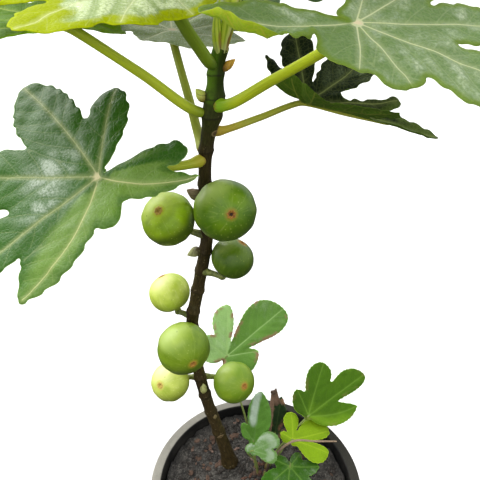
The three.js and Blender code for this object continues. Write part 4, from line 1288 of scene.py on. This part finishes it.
def build_fig_stalk(name, foot, middle, axis, radius):
    """A fig's short thick stalk, with small bracts where the fruit sits on it."""
    rings, sides = 44, 20
    neck = middle - axis * 1.06 * radius
    place, tangent, length = spline([foot, lerp(foot, neck, .6), neck, middle - axis * .8 * radius], rings)
    t = np.linspace(0, 1, rings + 1)[:, None]
    neck_at = 1 - .26 * radius / max(length, 1)
    thick = 2.5 + 1.5 * bell(t / .35) + 1.1 * bell((t - neck_at) / .07)
    ring = thick * (1 + .12 * np.abs(np.sin(1.5 * around(sides))) * bell((t - neck_at) / .09))
    limb(name + "_stalk", place, tangent, ring, fig_stalk)


def fig_stalk_material():
    p = Paint("fig_stalk_skin", (.10, .13, .02))
    grain = p.noise(p.place(), 300, 4)
    p.coat((.30, .34, .08), grain, .35, .7)
    p.coat((.07, .055, .02), p.axis(p.uv(), 1), 0, .35, .9, 0)
    return p.finish(.55, p.bump(grain, .0005, .6))


fig_stalk = fig_stalk_material()
for seed, fig in enumerate(FIGS, 1):
    build_fig(*fig, seed)

# ------------------------------------------------------------------ pot and soil

H, R, WALL, FLOOR = POT["height"], POT["rim"], POT["wall"], POT["floor"]
INNER = R - POT["lip"]
SKIRT = H - POT["lip_depth"]  # the level where the lip begins
POT_SIDES = 160


def wall(z):
    """The outer radius of the pot's wall at a height."""
    return lerp(POT["base"], INNER + WALL, z / H)


def rounded(corner, size, start, end):
    """An arc of the profile round a corner's centre, between two angles in degrees."""
    return [(corner[0] + size * math.cos(a), corner[1] + size * math.sin(a))
            for a in np.radians(np.linspace(start, end, 6))]


def pot_material():
    """Matt dark grey plastic: dusty and pale on the rim, black inside, scuffed outside."""
    p = Paint("pot_plastic_skin")
    spot = p.place()
    x, y, z = (p.axis(spot, k) for k in range(3))
    radius = p.math("POWER", p.plus(p.math("POWER", x, 2.0), p.math("POWER", y, 2.0)), .5)
    dust, fine = p.noise(spot, 26, 5, .65), p.noise(spot, 600, 3, .6)
    grey = p.mix(p.map(dust, .3, .7), (.20, .19, .16), (.28, .27, .23))
    # the rim is much darker on its right than on its left
    grey = p.mix(p.map(p.plus(x, p.times(dust, .08)), -.01, .07, 0, .97), grey, (.017, .016, .011))
    grey = p.mix(p.map(fine, .55, .75, 0, .35), grey, (.11, .105, .09))
    p.body = p.mix(p.map(dust, .35, .7), (.075, .075, .068), (.13, .13, .118))
    p.coat((.22, .215, .19), p.noise(p.scaled(spot, (1, 1, .16)), 60, 4, .6), .55, .8, 0, .45)
    p.coat(grey, z, .1965, .1985)
    inner = p.mix(p.map(dust, .4, .7), (.008, .008, .008), (.03, .028, .024))
    p.cover(p.times(p.map(radius, .1088, .1100, 1, 0), p.map(z, .02, .1999, 1, 1)), inner)
    rough = p.plus(p.map(dust, .3, .7, .42, .62), p.map(z, .197, .199, 0, .08))
    return p.finish(rough, p.bump(p.plus(fine, dust), .00025, .5), .22)


def build_pot():
    """The pot turned from its profile: a ridged foot, the wall, the rounded lip and the inside."""
    profile = [(70, 1.2), (72, .2), (74, 0), (82, 0)] + rounded((84, 2), 2, -90, -5)
    profile += [(wall(z), z) for z in (10, 30, 60, 90, 120, 150, 172)]
    profile += [(wall(SKIRT), SKIRT - .6), (wall(SKIRT) + .5, SKIRT)]
    profile += rounded((R - 1.4, SKIRT + 1.4), 1.4, -90, 0) + rounded((R - 2.6, H - 2.6), 2.6, 0, 90)
    profile += [(R - 5, H - .05), (R - 7, H)] + rounded((INNER + 2.4, H - 2.4), 2.4, 90, 180)
    profile += [(INNER - .1, H - 6), (wall(H - 12) - WALL, H - 12)]
    profile += [(wall(z) - WALL, z) for z in (160, 120, 60, 8)] + [(wall(FLOOR) - 2 * WALL, FLOOR)]
    ring = circle(POT_SIDES, np.array([1, 0, 0]), np.array([0, 1, 0]))
    points = [ring * r + (0, 0, z) for r, z in profile] + [[(0, 0, 1.2), (0, 0, FLOOR)]]
    faces, _ = closed_band(len(profile), POT_SIDES)
    make("pot_shell", np.vstack(points), faces, pot_material(), replaced=["pot"])


def soil_inside(z):
    """The soil's outer radius at a height, just clear of the wall."""
    return lerp(wall(FLOOR) - WALL, INNER, (z - FLOOR) / (H - 2.5 - FLOOR)) - 2 * GAP


def soil_height(x, y):
    """The lumpy soil's height at a place. It banks up beside the wall."""
    bank = SOIL_BANK * max(0, (math.hypot(x, y) / SOIL_EDGE - .66) / .34) ** 1.7
    spot = Vector((x, y, 0))
    lumps = noise.fractal(spot / 22, .7, 2, 4) * 2.2 + noise.fractal(spot / 5, .7, 2, 3) * .9
    bank *= 1 + .5 * noise.fractal(spot / 15 + Vector((3, 1, 7)), .7, 2, 3)
    return SOIL_LEVEL - 1.0 + bank + lumps


def soil_material():
    p = Paint("soil_skin", (.012, .010, .008))
    spot = p.place()
    coarse, fine = p.noise(spot, 90, 5, .7), p.noise(spot, 420, 4, .7)
    p.coat((.080, .073, .062), coarse, .35, .68)
    p.coat((.17, .158, .136), fine, .48, .66, 0, .9)
    p.coat((.16, .12, .09), p.cells(spot, 260), .05, .14, .5, 0)
    x, y = p.axis(spot, 0), p.axis(spot, 1)
    out = p.plus(p.math("POWER", p.plus(p.times(x, x), p.times(y, y)), .5), p.times(coarse, .012))
    p.coat((.012, .011, .010), out, .103, .112, 0, .8)  # painted shade: the soil is darker beside the wall
    return p.finish(p.map(fine, .4, .7, .75, .95), p.bump(p.plus(coarse, fine), .003, 1))


def build_soil():
    """The soil as one closed piece: its lumpy face, its side just clear of the wall, and its foot."""
    rings, sides, bottom = 74, 150, 4
    turns = [2 * math.pi * k / sides for k in range(sides)]

    def circled(r):
        return [(r * math.cos(a), r * math.sin(a)) for a in turns]

    verts = [(x, y, soil_height(x, y)) for i in range(1, rings + 1)
             for x, y in circled(SOIL_EDGE * i / rings)]
    faces = [face[::-1] for face in band(rings, sides)[0]]
    centre, top = len(verts), (rings - 1) * sides
    foot, deep = centre + 1, centre + 1 + sides
    below = deep + sides
    verts.append((0, 0, soil_height(0, 0)))
    verts += [(x, y, z) for z in (120, bottom) for x, y in circled(soil_inside(z))]
    verts.append((0, 0, bottom))
    for k in range(sides):
        m = (k + 1) % sides
        faces += [(centre, k, m), (top + k, foot + k, foot + m, top + m),
                  (foot + k, deep + k, deep + m, foot + m), (below, deep + m, deep + k)]
    make("soil_surface", verts, faces, soil_material(), replaced=["soil"])


SOIL_EDGE = soil_inside(SOIL_LEVEL)
WHOLE = (0, 0, SOIL_EDGE - 6)  # the middle and radius of the soil's open face
CRUMB_SEED = 5
CRUMBS = [  # name, colour, how many, smallest and largest, how flat, where
    ("soil_crumbs", (.030, .024, .019), 620, (1.0, 2.6), .9, WHOLE),
    ("soil_crumbs_grey", (.085, .075, .064), 240, (.8, 2.0), .9, WHOLE),
    ("bark_chips", (.085, .048, .030), 120, (1.8, 5.2), .45, WHOLE),
    ("bark_lumps", (.115, .055, .034), 13, (2.0, 3.6), .8, (2, 24, 19)),
    ("bark_chips_pink", (.15, .095, .07), 15, (1.5, 4.2), .45, WHOLE),
    ("tan_bits", (.30, .19, .10), 8, (1.0, 2.4), .6, WHOLE),
]


def twenty_sides():
    """A regular solid of twenty triangles: its twelve unit places, and its faces turned outward."""
    gold = (1 + 5 ** .5) / 2
    places = np.array([place for a in (-1, 1) for b in (-gold, gold)
                       for place in ((0, a, b), (a, b, 0), (b, 0, a))]) / math.hypot(1, gold)
    faces = [(i, j, k) for i in range(12) for j in range(i + 1, 12) for k in range(j + 1, 12)
             if all(np.linalg.norm(places[a] - places[b]) < 1.1 for a, b in ((i, j), (j, k), (i, k)))]
    corners = [places[list(face)] for face in faces]
    return places, [face if np.dot(np.cross(b - a, c - a), a) > 0 else face[::-1]
                    for face, (a, b, c) in zip(faces, corners)]


def crumb_material(name, colour):
    p = Paint(name + "_skin", times(colour, .65))
    spot = p.place()
    p.coat(lighter(colour, 1.35), p.noise(spot, 500, 3), .3, .7)
    return p.finish(.85, p.bump(p.noise(spot, 700, 3), .0006, .7))


def build_crumbs():
    """Crumbs, bark chips and small stones that lie on the soil, joined by colour."""
    rng = random.Random(CRUMB_SEED)
    base, tris = twenty_sides()
    for name, colour, count, (small, large), flat, (at_x, at_y, radius) in CRUMBS:
        verts, faces = [], []
        for _ in range(count):
            r, a = radius * math.sqrt(rng.random()), rng.uniform(0, 6.2832)
            x, y = at_x + r * math.cos(a), at_y + r * math.sin(a)
            size = rng.uniform(small, large)
            stretch = np.array([rng.uniform(.8, 1.7), rng.uniform(.6, 1.1), flat * rng.uniform(.6, 1.1)])
            turn, tilt = rng.uniform(0, 6.3), rng.uniform(-.5, .5)
            shape = base * (1 + np.array([[rng.uniform(-.25, .25)] for _ in base])) * stretch * size
            c, s = math.cos(tilt), math.sin(tilt)
            shape = shape @ np.array([[1, 0, 0], [0, c, -s], [0, s, c]])
            c, s = math.cos(turn), math.sin(turn)
            shape = shape @ np.array([[c, -s, 0], [s, c, 0], [0, 0, 1]])
            faces += [tuple(len(verts) + i for i in t) for t in tris]
            verts += [tuple(v + (x, y, soil_height(x, y) + size * flat * .35)) for v in shape]
        make(name, verts, faces, crumb_material(name, colour), smooth_faces=False)


build_pot()
build_soil()
build_crumbs()

# ------------------------------------------------------------------ stage, light and camera

PHOTO_PX = 480
FOCAL_PX = 550  # the photograph's focal length in its own pixels
SENSOR = 36
CAMERA = (-.018, -.383, .772)
CAMERA_DOWN = 32.6
FLOOR_SIDE, FLOOR_BACK = 14, 22


def build_floor():
    p = Paint("floor_paper", (.86, .86, .855))
    mesh = bpy.data.meshes.new("floor")
    mesh.from_pydata([(-FLOOR_SIDE, -FLOOR_SIDE, 0), (FLOOR_SIDE, -FLOOR_SIDE, 0),
                      (FLOOR_SIDE, FLOOR_BACK, 0), (-FLOOR_SIDE, FLOOR_BACK, 0)], [], [(0, 1, 2, 3)])
    mesh.materials.append(p.finish(.9))
    floor = link(bpy.data.objects.new("floor", mesh))
    floor.visible_diffuse = False  # it catches shadows, and throws no glare up under the leaves
    floor.visible_glossy = False


def soft_sun(name, direction, strength, spread, colour):
    """A broad even light from a direction, as wide as a softbox of that angle."""
    data = bpy.data.lights.new(name, "SUN")
    data.energy = strength
    data.angle = math.radians(spread)
    data.color = colour
    lamp = link(bpy.data.objects.new(name, data))
    lamp.location = [2 * c for c in direction]
    lamp.rotation_euler = Vector(direction).to_track_quat("Z", "Y").to_euler()


def build_studio():
    """An even surround with bright walls and ceiling, dim below."""
    world = bpy.data.worlds.new("studio")
    world.use_nodes = True
    nodes, links = world.node_tree.nodes, world.node_tree.links
    sky = nodes["Background"]
    sky.inputs[0].default_value = (.98, .985, 1, 1)
    way = nodes.new("ShaderNodeTexCoord")
    height = nodes.new("ShaderNodeSeparateXYZ")
    links.new(way.outputs["Generated"], height.inputs[0])
    glow = nodes.new("ShaderNodeMapRange")
    for socket, value in zip(list(glow.inputs)[1:5], (-.35, .2, .10, 1.15)):
        socket.default_value = value
    links.new(height.outputs[2], glow.inputs[0])
    links.new(glow.outputs[0], sky.inputs[1])
    bpy.context.scene.world = world
    bpy.context.scene.view_settings.view_transform = "Standard"


def build_camera():
    """The photograph's viewpoint."""
    camera = bpy.data.cameras.new("camera")
    camera.sensor_width = SENSOR
    camera.lens = SENSOR * FOCAL_PX / PHOTO_PX
    camera.clip_start = .01
    camera.clip_end = 100
    eye = link(bpy.data.objects.new("camera", camera))
    eye.location = CAMERA
    eye.rotation_euler = (math.radians(90 - CAMERA_DOWN), 0, 0)
    bpy.context.scene.camera = eye


build_floor()
soft_sun("key", (-.64, .44, .63), 2.2, 50, (1, .985, .94))
soft_sun("top", (-.12, -.28, .95), 1.0, 70, (.98, .99, 1))
build_studio()
build_camera()
